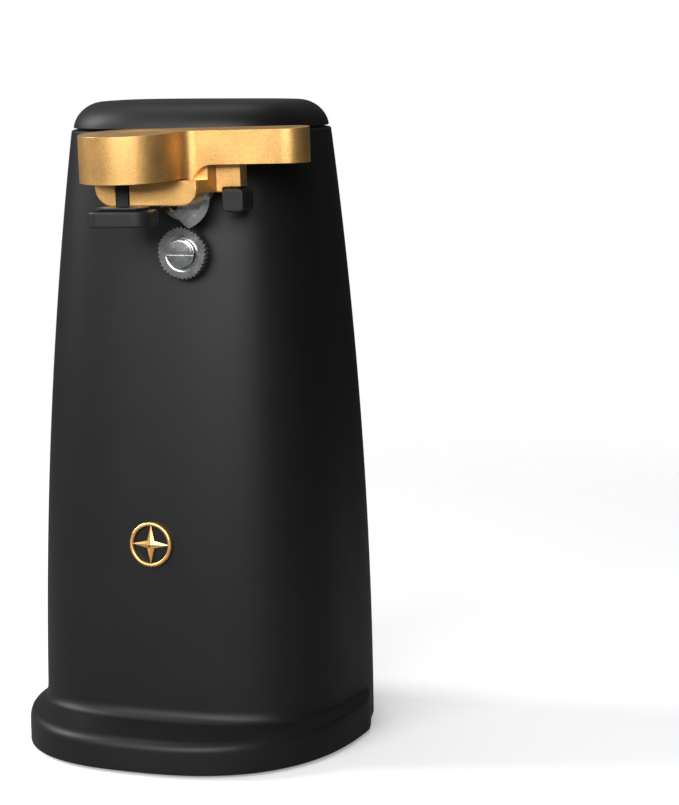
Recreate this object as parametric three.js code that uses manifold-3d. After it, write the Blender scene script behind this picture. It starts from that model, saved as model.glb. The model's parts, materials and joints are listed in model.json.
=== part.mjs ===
// Electric can opener: a tall matte tower on a wide plinth, with a metallic press lever across its front.
// Millimetres. +Z is up and the working side faces -Y. The origin is on the floor, under the object's middle.
// Inside the file the shapes use the tower frame, whose Z axis is the tower's own centre line.

import * as THREE from 'three';
import { mergeVertices } from 'three/addons/utils/BufferGeometryUtils.js';
import Module from 'manifold-3d';

const wasm = await Module();
wasm.setup();

// ---------------------------------------------------------------- driving dimensions

const GAP = 0.3; // clearance between pieces that touch
const WALL = 2.4; // moulded wall of the tower
const BITE = 1.2; // how far a rib or a boss runs into the wall that carries it
const TOWER_SHIFT = 15.33; // the tower's centre line lies this far behind the origin

const TOWER = {
  height: 240,
  halfWidth: 59,
  halfWidthLoss: 14, // how much narrower each side is at full height
  front: 56,
  frontLoss: 16.6,
  back: 48.5,
  backLoss: 14.5,
  frontSquareness: 3.0, // superellipse exponents of the plan
  backSquareness: 3.3,
  capSeam: 230,
};

const PLINTH = {
  halfWidth: 63.4,
  front: 75.6,
  squareness: 2.56,
  sideFade: (24 * Math.PI) / 180, // on each side the step dies out by this angle behind the centre line
};

// How much of the plinth's outline is left at each height of its rounded step into the tower.
const PLINTH_STEP = [
  [1.2, 1],
  [10.8, 1],
  [12.8, 0.9],
  [14.2, 0.6],
  [16.2, 0.2],
  [19.5, 0],
];
const TOWER_LEVELS = [75, 130, 180, 229.7];

// The hollow inside the tower, by heights: its bottom and top, its own plinth step, and plain levels.
const INNER = { bottom: 0.5, top: 235, step: [[10, 1], [13, 0.4], [15, 0]], levels: [90, 160] };
const SEGMENTS = 40; // points around the tower's plan
const CAP = {
  round: 9.4, // shoulder radius
  inset: 0.6, // the cap sits this far inside the tower's wall line
  skirtBottom: 226,
  skirtTop: 231.3,
  hollow: [[225, 4.4], [236, 4.8], [238, 9]], // [height, inset]
};

const WINDOW = { halfWidth: 33, bottom: 24, top: 218, y: [15, 70] }; // opening that the rear cover closes

const SCREW_RIB = { inward: 5, outward: 9, halfDepth: 5, top: 24 }; // takes a base screw
const COVER_BRIDGE = { x: [-60, 60], y: [24, 29], halfHeight: 6 }; // takes a cover screw
const PLATE_BOSS = { radius: 4.5, holeDepth: 5 }; // takes a screw of the gear plates

const GEAR = { module: 1.25, addendum: 0.9, dedendum: 1.2, backlash: 0.22, width: 6 };
const TEETH = { pinion: 10, big: 38, small: 12, output: 36 };

const DRIVE = { x: 13, z: 187 }; // axis of the toothed drive wheel
const PIVOT = { x: -8, z: 219 }; // axis on which the lever turns

const LAYER_STEP = 7; // from one layer of gears to the next
const LAYER_A = -33; // front face of the output gear
const LAYER_B = LAYER_A + LAYER_STEP;
const LAYER_C = LAYER_B + LAYER_STEP;
const GEAR_HUB = 6;
const OUTPUT_WEB = { radius: 18.4, depth: 1.6 }; // the ring by which a big gear is thinned
const IDLER_WEB = { radius: 19.5, depth: 2 };
const FRONT_PLATE = [-35.5, -34];
const REAR_PLATE = [-12, -10.4];

const STATOR = {
  front: 0,
  back: 20,
  halfWidth: 30,
  bottom: 62,
  top: 124,
  bore: 14.5,
  corners: [3, 3, 9, 9],
  window: { halfWidth: 18, top: 87.5 },
};

const LEVER = {
  tilt: 1.3, // degrees, free end up when it rests on its stop
  headRadius: 19,
  headX: -0.4,
  headY: -62,
  neckRadius: 5,
  armFront: -60,
  backFace: -44.6,
  armEnd: 54.9,
  wall: 2.2,
  top: 230.1,
  bottom: 213.7,
  armBottom: 218.3,
  topSlope: 0.046, // the top and the underside both fall towards the front
  bottomSlope: 0.055,
  stepX: 22, // where the skirt curves up to the arm
  stepWidth: 7.5,
  stepHeight: 4.8,
  dish: { x: 1.6, radius: 13, depth: 0.9 },
};

const CARRIER = {
  left: -14.8,
  right: 24.6,
  front: -64,
  back: -45.4,
  bottom: 204.2,
  top: 226.4,
  corners: [7, 6, 0.5, 0.5],
  ledge: { left: 10, back: -52, top: 213.1 }, // below this the block may stand out past the shell's neck
};
const MAGNET_SLOT = { left: -6.75, right: -1.25, back: -57.8 };
const MAGNET_PIN = { left: -10, right: 2, y: -61.2, z: 215, radius: 1.25 };
const WEB = { right: 29.8, bottom: 208.2 }; // closes the corner between the carrier and the rib
const RIB = { left: 27.5, right: 36.8, front: -53, back: -45.4, bottom: 209.9 };

const BLADE = {
  back: -53.2,
  thick: 1.6,
  left: 6,
  right: 25,
  top: 214,
  shoulder: 203.5,
  tipX: 16.2,
  tip: 195.5,
  rivets: [[11.5, 210.5], [18.5, 210.5]],
  eye: { x: 11.4, z: 203.2, radius: 1.2 },
};
const RIVET = { radius: 1.6, head: 2.6, headHeight: 1, sink: 2.9, seat: -48.4, length: 9 };

const MAGNET = {
  x: -1.6,
  y: -69.5,
  bottom: 197.5,
  top: 203.3,
  cup: [11.9, 8, 5.5], // half width, half depth and corner radius
  well: [9.9, 6, 4],
  block: [9.6, 5.7, 3.8],
  plate: [9, 5.2, 3],
  wellRoof: 1.6,
  blockDrop: 1.9, // from the cup's top down to the magnet's
  plateTop: 1.1, // from the cup's top up to the plate's
  fork: { margin: 0.4, front: -64.8 }, // notch that goes round the post
};
const MAGNET_POST = {
  x: -4,
  front: -64.4,
  halfWidth: 2.4,
  topRadius: 3,
  heel: [-58.9, 209],
  toe: -61.8,
  foot: 0.5, // the post runs this far into the cup
};

const WHEEL = { front: -51.6, back: -48.4, radius: 9.6, root: 8.9, hub: 5.4, hubBack: -47.2, teeth: 36 };
const SHAFT = { pivot: 4, drive: 3.5, pin: 2.5, motor: 2.5 }; // radii
const PIVOT_SHAFT = [-57.5, -25.5];
const DRIVE_SHAFT = { y: [-53, -9.5], head: 5.2, headFront: -53.6, slotBack: -52.9, slotHalf: 0.6 };
const MOTOR_SHAFT = [-20, 35.5];
const BUSHING = { outer: 5.5, flange: 7, flangeThick: 1.2 };
const CASE_SCREW = { shank: 1.5, length: 12 };
const PLATE_SCREW = { shank: 1.6, head: 3.2, headHeight: 1.8, length: 27 };
const MOTOR_SCREW = { x: [-24, 24], head: 3, headHeight: 1.8, length: 37 };
const MOTOR_CLEARANCE = 8.2; // radius of the rear plate's opening round the motor's pinion
const SPACER_RADIUS = 3.5;

const FOOT_PLACES = [[-44, -42], [44, -42], [-40, 30], [40, 30]];
const FOOT = { radius: 7, height: 2.6, round: 0.8, socket: 3 };
const BASE_SCREW_PLACES = [[-51, -28], [51, -28], [-50, 14], [50, 14]];
const BASE_SCREW = { head: 3, headHeight: 1.2, seat: 2.7, sink: 3.6 };
const BASE_PLATE = { bottom: 1.6, top: 4.2 };
const BASE_VENTS = { x: [-18, -6, 6, 18], halfWidth: 2.6, y: [-12, 16] };
const COVER_SCREW = { z: [34, 208], head: 3.2, headHeight: 1.2, length: 13, recess: 4, recessDepth: 1.2 };
const COVER_VENTS = { x: [-12, -6, 0, 6, 12], halfWidth: 1.2, z: [60, 84] };
const GLAND = { x: 22, z: 34, hole: 6.4, setBack: 2.9 };

// The gland's section, [radius, depth]: a bore, a neck in the cover and a flange outside it.
const GLAND_SECTION = [
  [3.6, -5],
  [6, -5],
  [6, 3.2],
  [8.4, 3.2],
  [8.4, 4.2],
  [6.2, 5],
  [3.6, 5],
  [3.6, -5],
];
const SPACER_PLACES = [[-28, 201], [34, 160], [21, 121], [-34, 100]];
const PLATE_OUTLINE = [
  [-40, 91],
  [27, 91],
  [40, 150],
  [37.5, 172],
  [32, 200],
  [22, 224],
  [-22, 224],
  [-30, 206],
  [-35, 170],
  [-40, 130],
];

const LEG = { bottom: 62, top: 76 }; // the stator's lower leg, which carries the coil
const BOBBIN = {
  wall: 1.8,
  halfLength: 16,
  flangeX: [-16, 14.6],
  flangeThick: 1.4,
  flangeY: [-9, 29],
  flangeZ: [53, 86],
};
const COIL = { halfLength: 14.3, y: [-8, 28], z: [54, 85], corner: 3, bore: 2.1 };
const BRACKET = {
  front: [-10.1, -0.3],
  rear: [20.3, 26],
  halfLength: 30,
  halfHeight: 7,
  corner: 6,
  boss: 9,
  relief: 15, // radius of the recess that clears the rotor
  frontRelief: -2.4,
  rearRelief: 22.4,
  plateRelief: { halfWidth: 19, back: -8 },
};
const ROTOR = { radius: 13.6, y: [-1.4, 21.4] };
const FAN = {
  hub: 5,
  radius: 18,
  y: [27.2, 34],
  discBack: 28.4,
  vane: { x: [4, 17.5], y: [28, 33.4], halfThick: 0.6 },
  vanes: 6,
};
const SWITCH = {
  x: [-33, -14.4],
  y: [-30.4, -24],
  z: [214, 223.4],
  plungerX: -26,
  plunger: { halfWidth: 1.2, y: [-28.4, -26], z: [212.5, 217.6] },
  port: { halfWidth: 1.6, y: [-28.8, -25.6], top: 219 },
  tabX: [-31, -23, -16],
  tab: { halfWidth: 0.4, y: [-24.5, -20], z: [219, 222] },
};
const CAM_DEPTH = [-30, -26.5];
const CAM_OUTLINE = [
  [-5.4, -11.5],
  [5, -9],
  [5.8, 0],
  [0, 6],
  [-5.4, 2],
  [-5.6, -6.2],
  [-21, -6.2],
  [-21, -9.4],
];
const CAN_GUIDE = { x: 35, z: 206.4, halfWidth: 4.1, halfHeight: 4, y: [-56.4, -46.3], corner: 1.2 };
const BADGE = { z: 81, ring: [6.9, 8.2], star: [1.9, 7.4], thick: 1.4, starThick: 1.2 };

// ---------------------------------------------------------------- materials

function material(color, roughness, metalness) {
  return new THREE.MeshStandardMaterial({ color, roughness, metalness });
}

const BLACK_SHELL = [0x1b1b1c, 0.55, 0];
const BLACK_NYLON = [0x151516, 0.5, 0];
const RUBBER = [0x101010, 0.9, 0];
const GOLD_PAINT = [0xc99a50, 0.4, 0.9];
const STEEL = [0xb9bcc0, 0.3, 1];
const BLACK_OXIDE = [0x232325, 0.5, 1];
const ZINC = [0x9a9d9f, 0.5, 1];
const BRASS = [0xb8923f, 0.35, 1];
const FERRITE = [0x2a2a2c, 0.8, 0];
const NATURAL_NYLON = [0xe6e1d2, 0.5, 0];
const COPPER = [0xa85a2a, 0.35, 1];
const LAMINATION = [0x6e7276, 0.55, 1];
const WHITE_PLASTIC = [0xd9d8d2, 0.5, 0];

// ---------------------------------------------------------------- solids and booleans

function toSolid(geometry) {
  const bare = geometry.index ? geometry.toNonIndexed() : geometry.clone();
  bare.deleteAttribute('normal');
  bare.deleteAttribute('uv');
  const merged = mergeVertices(bare, 1e-4);
  const corners = merged.index.array;
  const kept = [];
  for (let i = 0; i < corners.length; i += 3) {
    const [a, b, c] = [corners[i], corners[i + 1], corners[i + 2]];
    if (a !== b && b !== c && c !== a) kept.push(a, b, c);
  }
  const mesh = new wasm.Mesh({
    numProp: 3,
    vertProperties: new Float32Array(merged.attributes.position.array),
    triVerts: new Uint32Array(kept),
  });
  return new wasm.Manifold(mesh);
}

function toGeometry(solid) {
  const mesh = solid.getMesh();
  const geometry = new THREE.BufferGeometry();
  geometry.setAttribute('position', new THREE.BufferAttribute(new Float32Array(mesh.vertProperties), 3));
  geometry.setIndex(new THREE.BufferAttribute(new Uint32Array(mesh.triVerts), 1));
  geometry.computeVertexNormals();
  return geometry;
}

function cut(geometry, ...tools) {
  const result = tools.reduce((left, tool) => left.subtract(toSolid(tool)), toSolid(geometry));
  return toGeometry(result);
}

function join(geometry, ...others) {
  const result = others.reduce((left, other) => left.add(toSolid(other)), toSolid(geometry));
  return toGeometry(result);
}

function common(geometry, ...others) {
  const result = others.reduce((left, other) => left.intersect(toSolid(other)), toSolid(geometry));
  return toGeometry(result);
}

// ---------------------------------------------------------------- simple shapes

function box([x0, x1], [y0, y1], [z0, z1]) {
  const geometry = new THREE.BoxGeometry(x1 - x0, y1 - y0, z1 - z0);
  return geometry.translate((x0 + x1) / 2, (y0 + y1) / 2, (z0 + z1) / 2);
}

// A cylinder along Y between two depths, centred on (x, z).
function rodY(radius, [y0, y1], x = 0, z = 0, segments = 16) {
  const geometry = new THREE.CylinderGeometry(radius, radius, y1 - y0, segments);
  return geometry.translate(x, (y0 + y1) / 2, z);
}

function rodX(radius, [x0, x1], y = 0, z = 0, segments = 20) {
  const geometry = new THREE.CylinderGeometry(radius, radius, x1 - x0, segments).rotateZ(Math.PI / 2);
  return geometry.translate((x0 + x1) / 2, y, z);
}

function rodZ(radius, [z0, z1], x = 0, y = 0, segments = 24) {
  const geometry = new THREE.CylinderGeometry(radius, radius, z1 - z0, segments).rotateX(Math.PI / 2);
  return geometry.translate(x, y, (z0 + z1) / 2);
}

function extrude(shape, depth, curveSegments = 8) {
  return new THREE.ExtrudeGeometry(shape, { depth, bevelEnabled: false, curveSegments });
}

// An outline drawn in X and Z, extruded between two depths along Y.
function slabY(shape, [y0, y1], curveSegments) {
  return extrude(shape, y1 - y0, curveSegments).rotateX(Math.PI / 2).translate(0, y1, 0);
}

// An outline drawn in X and Y, extruded between two heights.
function slabZ(shape, [z0, z1], curveSegments) {
  return extrude(shape, z1 - z0, curveSegments).translate(0, 0, z0);
}

// An outline drawn in Y and Z, extruded between two values of X.
function slabX(shape, [x0, x1], curveSegments) {
  const turn = new THREE.Matrix4().makeBasis(
    new THREE.Vector3(0, 1, 0),
    new THREE.Vector3(0, 0, 1),
    new THREE.Vector3(1, 0, 0),
  );
  return extrude(shape, x1 - x0, curveSegments).applyMatrix4(turn).translate(x0, 0, 0);
}

function polygon(points) {
  return new THREE.Shape(points.map(([x, y]) => new THREE.Vector2(x, y)));
}

// A rectangle with round corners, each corner with its own radius, anticlockwise from the lower left.
function roundedRectangle([x0, x1], [y0, y1], [lowerLeft, lowerRight, upperRight, upperLeft]) {
  const shape = new THREE.Shape();
  shape.moveTo(x0 + lowerLeft, y0);
  shape.lineTo(x1 - lowerRight, y0);
  shape.absarc(x1 - lowerRight, y0 + lowerRight, lowerRight, -Math.PI / 2, 0, false);
  shape.lineTo(x1, y1 - upperRight);
  shape.absarc(x1 - upperRight, y1 - upperRight, upperRight, 0, Math.PI / 2, false);
  shape.lineTo(x0 + upperLeft, y1);
  shape.absarc(x0 + upperLeft, y1 - upperLeft, upperLeft, Math.PI / 2, Math.PI, false);
  shape.lineTo(x0, y0 + lowerLeft);
  shape.absarc(x0 + lowerLeft, y0 + lowerLeft, lowerLeft, Math.PI, Math.PI * 1.5, false);
  return shape;
}

function lathe(profile, segments = 24) {
  return new THREE.LatheGeometry(profile.map(([r, h]) => new THREE.Vector2(r, h)), segments);
}

// ---------------------------------------------------------------- tower outline

function frontReach(z) {
  return TOWER.front - TOWER.frontLoss * (z / TOWER.height) ** 2;
}

function backReach(z) {
  return TOWER.back - TOWER.backLoss * (z / TOWER.height) ** 2;
}

function halfWidth(z) {
  return TOWER.halfWidth - TOWER.halfWidthLoss * (z / TOWER.height) ** 2;
}

function superellipse(angle, width, depth, squareness) {
  const [c, s] = [Math.cos(angle), Math.sin(angle)];
  const reach = (Math.abs(c) ** squareness + Math.abs(s) ** squareness) ** (-1 / squareness);
  return [width * c * reach, depth * s * reach];
}

// How much of the plinth is left at an angle of the plan: all in front, and none at the back.
function plinthLeft(angle) {
  const behind = Math.atan2(Math.max(0, Math.sin(angle)), Math.abs(Math.cos(angle)));
  const t = Math.min(1, behind / PLINTH.sideFade);
  return 1 - t * t * (3 - 2 * t);
}

// A point of the tower's plan at height z, drawn in by an inset and spread by the plinth's share.
function outlinePoint(angle, z, inset, plinthShare) {
  const atFront = Math.sin(angle) < 0;
  const towerDepth = (atFront ? frontReach(z) : backReach(z)) - inset;
  const towerSquareness = atFront ? TOWER.frontSquareness : TOWER.backSquareness;
  const tower = superellipse(angle, halfWidth(z) - inset, towerDepth, towerSquareness);
  const plinthDepth = (atFront ? PLINTH.front : backReach(z)) - inset;
  const plinthSquareness = atFront ? PLINTH.squareness : TOWER.backSquareness;
  const plinth = superellipse(angle, PLINTH.halfWidth - inset, plinthDepth, plinthSquareness);
  const share = plinthShare * plinthLeft(angle);
  return [0, 1].map((i) => tower[i] + (plinth[i] - tower[i]) * share);
}

// A closed loft of the tower's plan. Each level is [height, inset, plinth share].
function towerLoft(levels) {
  const first = levels[0][0];
  const last = levels[levels.length - 1][0];
  const profile = [[0, first], ...levels.map(([z]) => [1, z]), [0, last]];
  const geometry = lathe(profile, SEGMENTS).rotateX(Math.PI / 2);
  const position = geometry.attributes.position;
  const rows = profile.length;
  for (let i = 0; i < position.count; i += 1) {
    const row = i % rows;
    if (row === 0 || row === rows - 1) continue;
    const angle = Math.atan2(position.getY(i), position.getX(i));
    const [z, inset, plinthShare] = levels[row - 1];
    const [x, y] = outlinePoint(angle, z, inset, plinthShare);
    position.setXY(i, x, y);
  }
  return geometry;
}

function outerTower() {
  const step = PLINTH_STEP.map(([z, share]) => [z, 0, share]);
  return towerLoft([...step, ...TOWER_LEVELS.map((z) => [z, 0, 0])]);
}

function innerTower(inset) {
  const step = INNER.step.map(([z, share]) => [z, inset, share]);
  const levels = [...INNER.levels, INNER.top].map((z) => [z, inset, 0]);
  return towerLoft([[INNER.bottom, inset, 1], ...step, ...levels]);
}

// ---------------------------------------------------------------- housing pieces

function windowBox(margin) {
  const x = WINDOW.halfWidth - margin;
  return box([-x, x], WINDOW.y, [WINDOW.bottom + margin, WINDOW.top - margin]);
}

function mainHousing() {
  const inside = innerTower(WALL);
  const core = innerTower(WALL - BITE);
  const shell = cut(outerTower(), inside);
  const ribs = BASE_SCREW_PLACES.map(([x, y]) => {
    const side = Math.sign(x);
    const reach = [x - SCREW_RIB.inward * side, x + SCREW_RIB.outward * side].sort((a, b) => a - b);
    const depth = [y - SCREW_RIB.halfDepth, y + SCREW_RIB.halfDepth];
    return common(box(reach, depth, [BASE_PLATE.top + GAP, SCREW_RIB.top]), core);
  });
  const bridges = COVER_SCREW.z.map((z) => {
    const height = [z - COVER_BRIDGE.halfHeight, z + COVER_BRIDGE.halfHeight];
    return common(box(COVER_BRIDGE.x, COVER_BRIDGE.y, height), core);
  });
  const bosses = SPACER_PLACES.map(([x, z]) => {
    return common(rodY(PLATE_BOSS.radius, [-60, FRONT_PLATE[0] - GAP], x, z), core);
  });
  const solid = join(shell, ...ribs, ...bridges, ...bosses);
  const baseHoles = BASE_SCREW_PLACES.map(([x, y]) => rodZ(CASE_SCREW.shank + GAP, [0, 20], x, y, 12));
  const coverHoles = COVER_SCREW.z.map((z) => rodY(CASE_SCREW.shank + GAP, [20, 32], 0, z, 12));
  const bossDepth = [FRONT_PLATE[0] - PLATE_BOSS.holeDepth, FRONT_PLATE[1]];
  const bossHoles = SPACER_PLACES.map(([x, z]) => rodY(PLATE_SCREW.shank + GAP, bossDepth, x, z, 12));
  const bushingHoles = [PIVOT, DRIVE].map(({ x, z }) => {
    return rodY(BUSHING.outer + GAP, [-60, FRONT_PLATE[0] - 1], x, z);
  });
  return cut(solid, windowBox(0), ...baseHoles, ...coverHoles, ...bossHoles, ...bushingHoles);
}

// The cover is the piece of the tower's own back wall that fills the window.
function rearCover() {
  const panel = cut(common(outerTower(), windowBox(GAP)), innerTower(WALL));
  const through = [20, 60];
  const holes = COVER_SCREW.z.map((z) => rodY(CASE_SCREW.shank + GAP, through, 0, z, 12));
  const recesses = COVER_SCREW.z.map((z) => {
    return rodY(COVER_SCREW.recess, [backReach(z) - COVER_SCREW.recessDepth, through[1]], 0, z, 20);
  });
  const glandHole = rodY(GLAND.hole, through, GLAND.x, GLAND.z);
  const { halfWidth } = COVER_VENTS;
  const vents = COVER_VENTS.x.map((x) => box([x - halfWidth, x + halfWidth], through, COVER_VENTS.z));
  return cut(panel, ...holes, ...recesses, glandHole, ...vents);
}

function topCap() {
  const base = TOWER.capSeam + GAP;
  const crown = TOWER.height - CAP.round;
  const turns = [0, 0.25, 0.5, 0.75, 1].map((t) => (t * Math.PI) / 2);
  const shoulder = turns.map((t) => {
    return [crown + CAP.round * Math.sin(t), CAP.inset + CAP.round * (1 - Math.cos(t)), 0];
  });
  const dome = towerLoft([[base, CAP.inset, 0], ...shoulder]);
  const skirt = towerLoft([CAP.skirtBottom, CAP.skirtTop].map((z) => [z, WALL + GAP, 0]));
  const hollow = towerLoft(CAP.hollow.map(([z, inset]) => [z, inset, 0]));
  return cut(join(dome, skirt), hollow);
}

function basePlate() {
  const inset = WALL + GAP;
  const plate = towerLoft([[BASE_PLATE.bottom, inset, 1], [BASE_PLATE.top, inset, 1]]);
  const feet = FOOT_PLACES.map(([x, y]) => rodZ(FOOT.radius + GAP, [0, FOOT.socket], x, y));
  const holes = BASE_SCREW_PLACES.map(([x, y]) => rodZ(CASE_SCREW.shank + GAP, [0, 6], x, y, 12));
  const sinkDepth = [0, BASE_SCREW.seat + GAP];
  const sinks = BASE_SCREW_PLACES.map(([x, y]) => rodZ(BASE_SCREW.sink, sinkDepth, x, y, 12));
  const { halfWidth } = BASE_VENTS;
  const slots = BASE_VENTS.x.map((x) => box([x - halfWidth, x + halfWidth], BASE_VENTS.y, [0, 6]));
  return cut(plate, ...feet, ...holes, ...sinks, ...slots);
}

function rubberFoot() {
  const { radius, height, round } = FOOT;
  const profile = [[0, 0], [radius - round, 0], [radius, round], [radius, height], [0, height]];
  return lathe(profile, 16).rotateX(Math.PI / 2);
}

// A pan-head screw along Z: head below z = 0, shank above it.
function panScrew(headRadius, headHeight, shankRadius, length) {
  const profile = [
    [0, -headHeight],
    [headRadius * 0.8, -headHeight],
    [headRadius, -headHeight * 0.5],
    [headRadius, 0],
    [shankRadius, 0],
    [shankRadius, length],
    [0, length],
  ];
  return lathe(profile, 12).rotateX(Math.PI / 2);
}

// A ring with a four-pointed star held inside it.
function emblemBadge() {
  const ring = new THREE.Shape();
  ring.absarc(0, 0, BADGE.ring[1], 0, Math.PI * 2, false);
  const inside = new THREE.Path();
  inside.absarc(0, 0, BADGE.ring[0], 0, Math.PI * 2, true);
  ring.holes.push(inside);
  const points = [];
  for (let i = 0; i < 8; i += 1) {
    const angle = (i * Math.PI) / 4;
    const radius = i % 2 === 0 ? BADGE.star[1] : BADGE.star[0];
    points.push([radius * Math.cos(angle), radius * Math.sin(angle)]);
  }
  return join(slabY(ring, [-BADGE.thick, 0], 20), slabY(polygon(points), [-BADGE.starThick, -0.1]));
}

// ---------------------------------------------------------------- lever and cutter

function leverPlan(inset) {
  const radius = LEVER.headRadius - inset;
  const neck = LEVER.neckRadius + inset;
  const front = LEVER.armFront + inset;
  const back = LEVER.backFace - inset;
  const neckY = front - neck;
  const neckX = LEVER.headX + Math.sqrt((radius + neck) ** 2 - (neckY - LEVER.headY) ** 2);
  const meet = Math.atan2(neckY - LEVER.headY, neckX - LEVER.headX);
  const leftEnd = Math.asin((back - LEVER.headY) / radius);
  const endRadius = (back - front) / 2;
  const plan = new THREE.Shape();
  plan.absarc(LEVER.headX, LEVER.headY, radius, Math.PI - leftEnd, Math.PI * 2 + meet, false);
  plan.absarc(neckX, neckY, neck, Math.PI + meet, Math.PI / 2, true);
  plan.absarc(LEVER.armEnd, front + endRadius, endRadius, -Math.PI / 2, Math.PI / 2, false);
  return plan;
}

// The lever's front view: a deep skirt at the head, then a short curve up to the shallow arm.
function leverFront(top, skirt, arm) {
  const { stepX, stepWidth, stepHeight } = LEVER;
  const shape = new THREE.Shape();
  shape.moveTo(-40, skirt);
  shape.lineTo(stepX, skirt);
  shape.lineTo(stepX, arm - stepHeight);
  shape.absellipse(stepX + stepWidth, arm - stepHeight, stepWidth, stepHeight, Math.PI, Math.PI / 2, true);
  shape.lineTo(80, arm);
  shape.lineTo(80, top);
  shape.lineTo(-40, top);
  return shape;
}

// The lever's side view: each face has its height at the head's middle and its own fall to the front.
function leverSide(top, bottom, topSlope, bottomSlope) {
  const [near, far] = [-90, -40];
  return polygon([
    [near, bottom + bottomSlope * (near - LEVER.headY)],
    [far, bottom + bottomSlope * (far - LEVER.headY)],
    [far, top + topSlope * (far - LEVER.headY)],
    [near, top + topSlope * (near - LEVER.headY)],
  ]);
}

function leverShell() {
  const { top, bottom, armBottom: arm, topSlope, bottomSlope, wall, dish } = LEVER;
  const sideRange = [-50, 90];
  const frontRange = [-100, -30];
  const plan = slabZ(leverPlan(0), [200, 245], 12);
  const front = slabY(leverFront(top + 10, bottom - 6, arm), frontRange);
  const side = slabX(leverSide(top, bottom, topSlope, bottomSlope), sideRange);
  const outer = common(plan, front, side);
  const hollowPlan = slabZ(leverPlan(wall), [190, 245], 10);
  const hollowFront = slabY(leverFront(top + 10, bottom - 20, arm - 20), frontRange);
  const hollowSide = slabX(leverSide(top - wall, bottom - 20, topSlope, bottomSlope), sideRange);
  const hollow = common(hollowPlan, hollowFront, hollowSide);
  const dishRim = rodZ(dish.radius, [228, 240], dish.x, LEVER.headY, 28);
  const dishFloor = slabX(leverSide(top - dish.depth, top - 30, topSlope, 0), sideRange);
  const shaftHole = rodY(SHAFT.pivot + GAP, [-50, -40], PIVOT.x, PIVOT.z);
  return cut(outer, hollow, cut(dishRim, dishFloor), shaftHole);
}

// The block under the head that carries the blade, the magnet's pin and the lever's shaft.
function leverCarrier() {
  const { left, right, front, back, bottom, top, corners, ledge } = CARRIER;
  const outline = roundedRectangle([left, right], [bottom, top], corners);
  const hollow = slabZ(leverPlan(LEVER.wall + GAP), [190, 245], 10);
  const below = box([ledge.left, RIB.right], [front, ledge.back], [bottom, ledge.top]);
  const block = slabY(outline, [front, back], 6);
  const webPlan = polygon([
    [right - 1, back],
    [right - 1, front + 1],
    [right, front + 1],
    [RIB.left, RIB.front],
    [WEB.right, RIB.front],
    [WEB.right, back],
  ]);
  const web = slabZ(webPlan, [WEB.bottom, top]);
  const rib = box([RIB.left, RIB.right], [RIB.front, RIB.back], [RIB.bottom, top]);
  const solid = common(join(block, web, rib), join(hollow, below));
  const slot = box([MAGNET_SLOT.left, MAGNET_SLOT.right], [-70, MAGNET_SLOT.back], [200, 220]);
  const pinRange = [MAGNET_PIN.left - 1.5, MAGNET_PIN.right + 1.5];
  const pinHole = rodX(MAGNET_PIN.radius + GAP, pinRange, MAGNET_PIN.y, MAGNET_PIN.z);
  const shaftHole = rodY(SHAFT.pivot + GAP, [-58, -40], PIVOT.x, PIVOT.z);
  const bladeDepth = [BLADE.back - BLADE.thick - GAP, BLADE.back + GAP];
  const bladeSlot = box([BLADE.left - GAP, BLADE.right + GAP], bladeDepth, [200, BLADE.top + GAP]);
  const rivets = BLADE.rivets.map(([x, z]) => rodY(RIVET.radius + GAP, [-58, -45], x, z, 12));
  const rivetSinks = BLADE.rivets.map(([x, z]) => rodY(RIVET.sink, [RIVET.seat - GAP, -40], x, z, 12));
  return cut(solid, slot, pinHole, shaftHole, bladeSlot, ...rivets, ...rivetSinks);
}

// A stamped plate with a plough-shaped lower corner; its curved edge is ground to a bevel.
function cutterBlade() {
  const { left, right, top, shoulder, tipX, tip, eye } = BLADE;
  const shape = new THREE.Shape();
  shape.moveTo(left, top);
  shape.lineTo(left, shoulder);
  shape.quadraticCurveTo(left + 3, shoulder - 4, tipX - 3.2, tip + 3);
  shape.lineTo(tipX, tip);
  shape.quadraticCurveTo(right - 0.6, tip + 3.1, right, tip + 11);
  shape.lineTo(right, top);
  const plate = slabY(shape, [BLADE.back - BLADE.thick, BLADE.back], 8);
  const through = [-60, -50];
  const holes = BLADE.rivets.map(([x, z]) => rodY(RIVET.radius + GAP, through, x, z, 12));
  return cut(plate, ...holes, rodY(eye.radius, through, eye.x, eye.z, 16));
}

function rivet() {
  const { radius, head, headHeight, length } = RIVET;
  const profile = [[0, -headHeight], [head * 0.7, -headHeight], [head, -headHeight * 0.3], [head, 0]];
  return lathe([...profile, [radius, 0], [radius, length], [0, length]], 12);
}

// A plain steel shaft along Y, from the lever's carrier to the switch cam.
function pivotShaft() {
  return rodY(SHAFT.pivot, PIVOT_SHAFT);
}

// The cam's finger reaches under the switch, so the lever closes the switch as it comes down.
function switchCam() {
  return cut(slabY(polygon(CAM_OUTLINE), CAM_DEPTH), rodY(SHAFT.pivot + GAP, [-40, -20]));
}

// ---------------------------------------------------------------- lid magnet

// A slab with round corners between two heights, from its half width, half depth and corner radius.
function pad([halfWidthX, halfDepthY, radius], heights) {
  const corners = [radius, radius, radius, radius];
  return slabZ(roundedRectangle([-halfWidthX, halfWidthX], [-halfDepthY, halfDepthY], corners), heights, 6);
}

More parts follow.
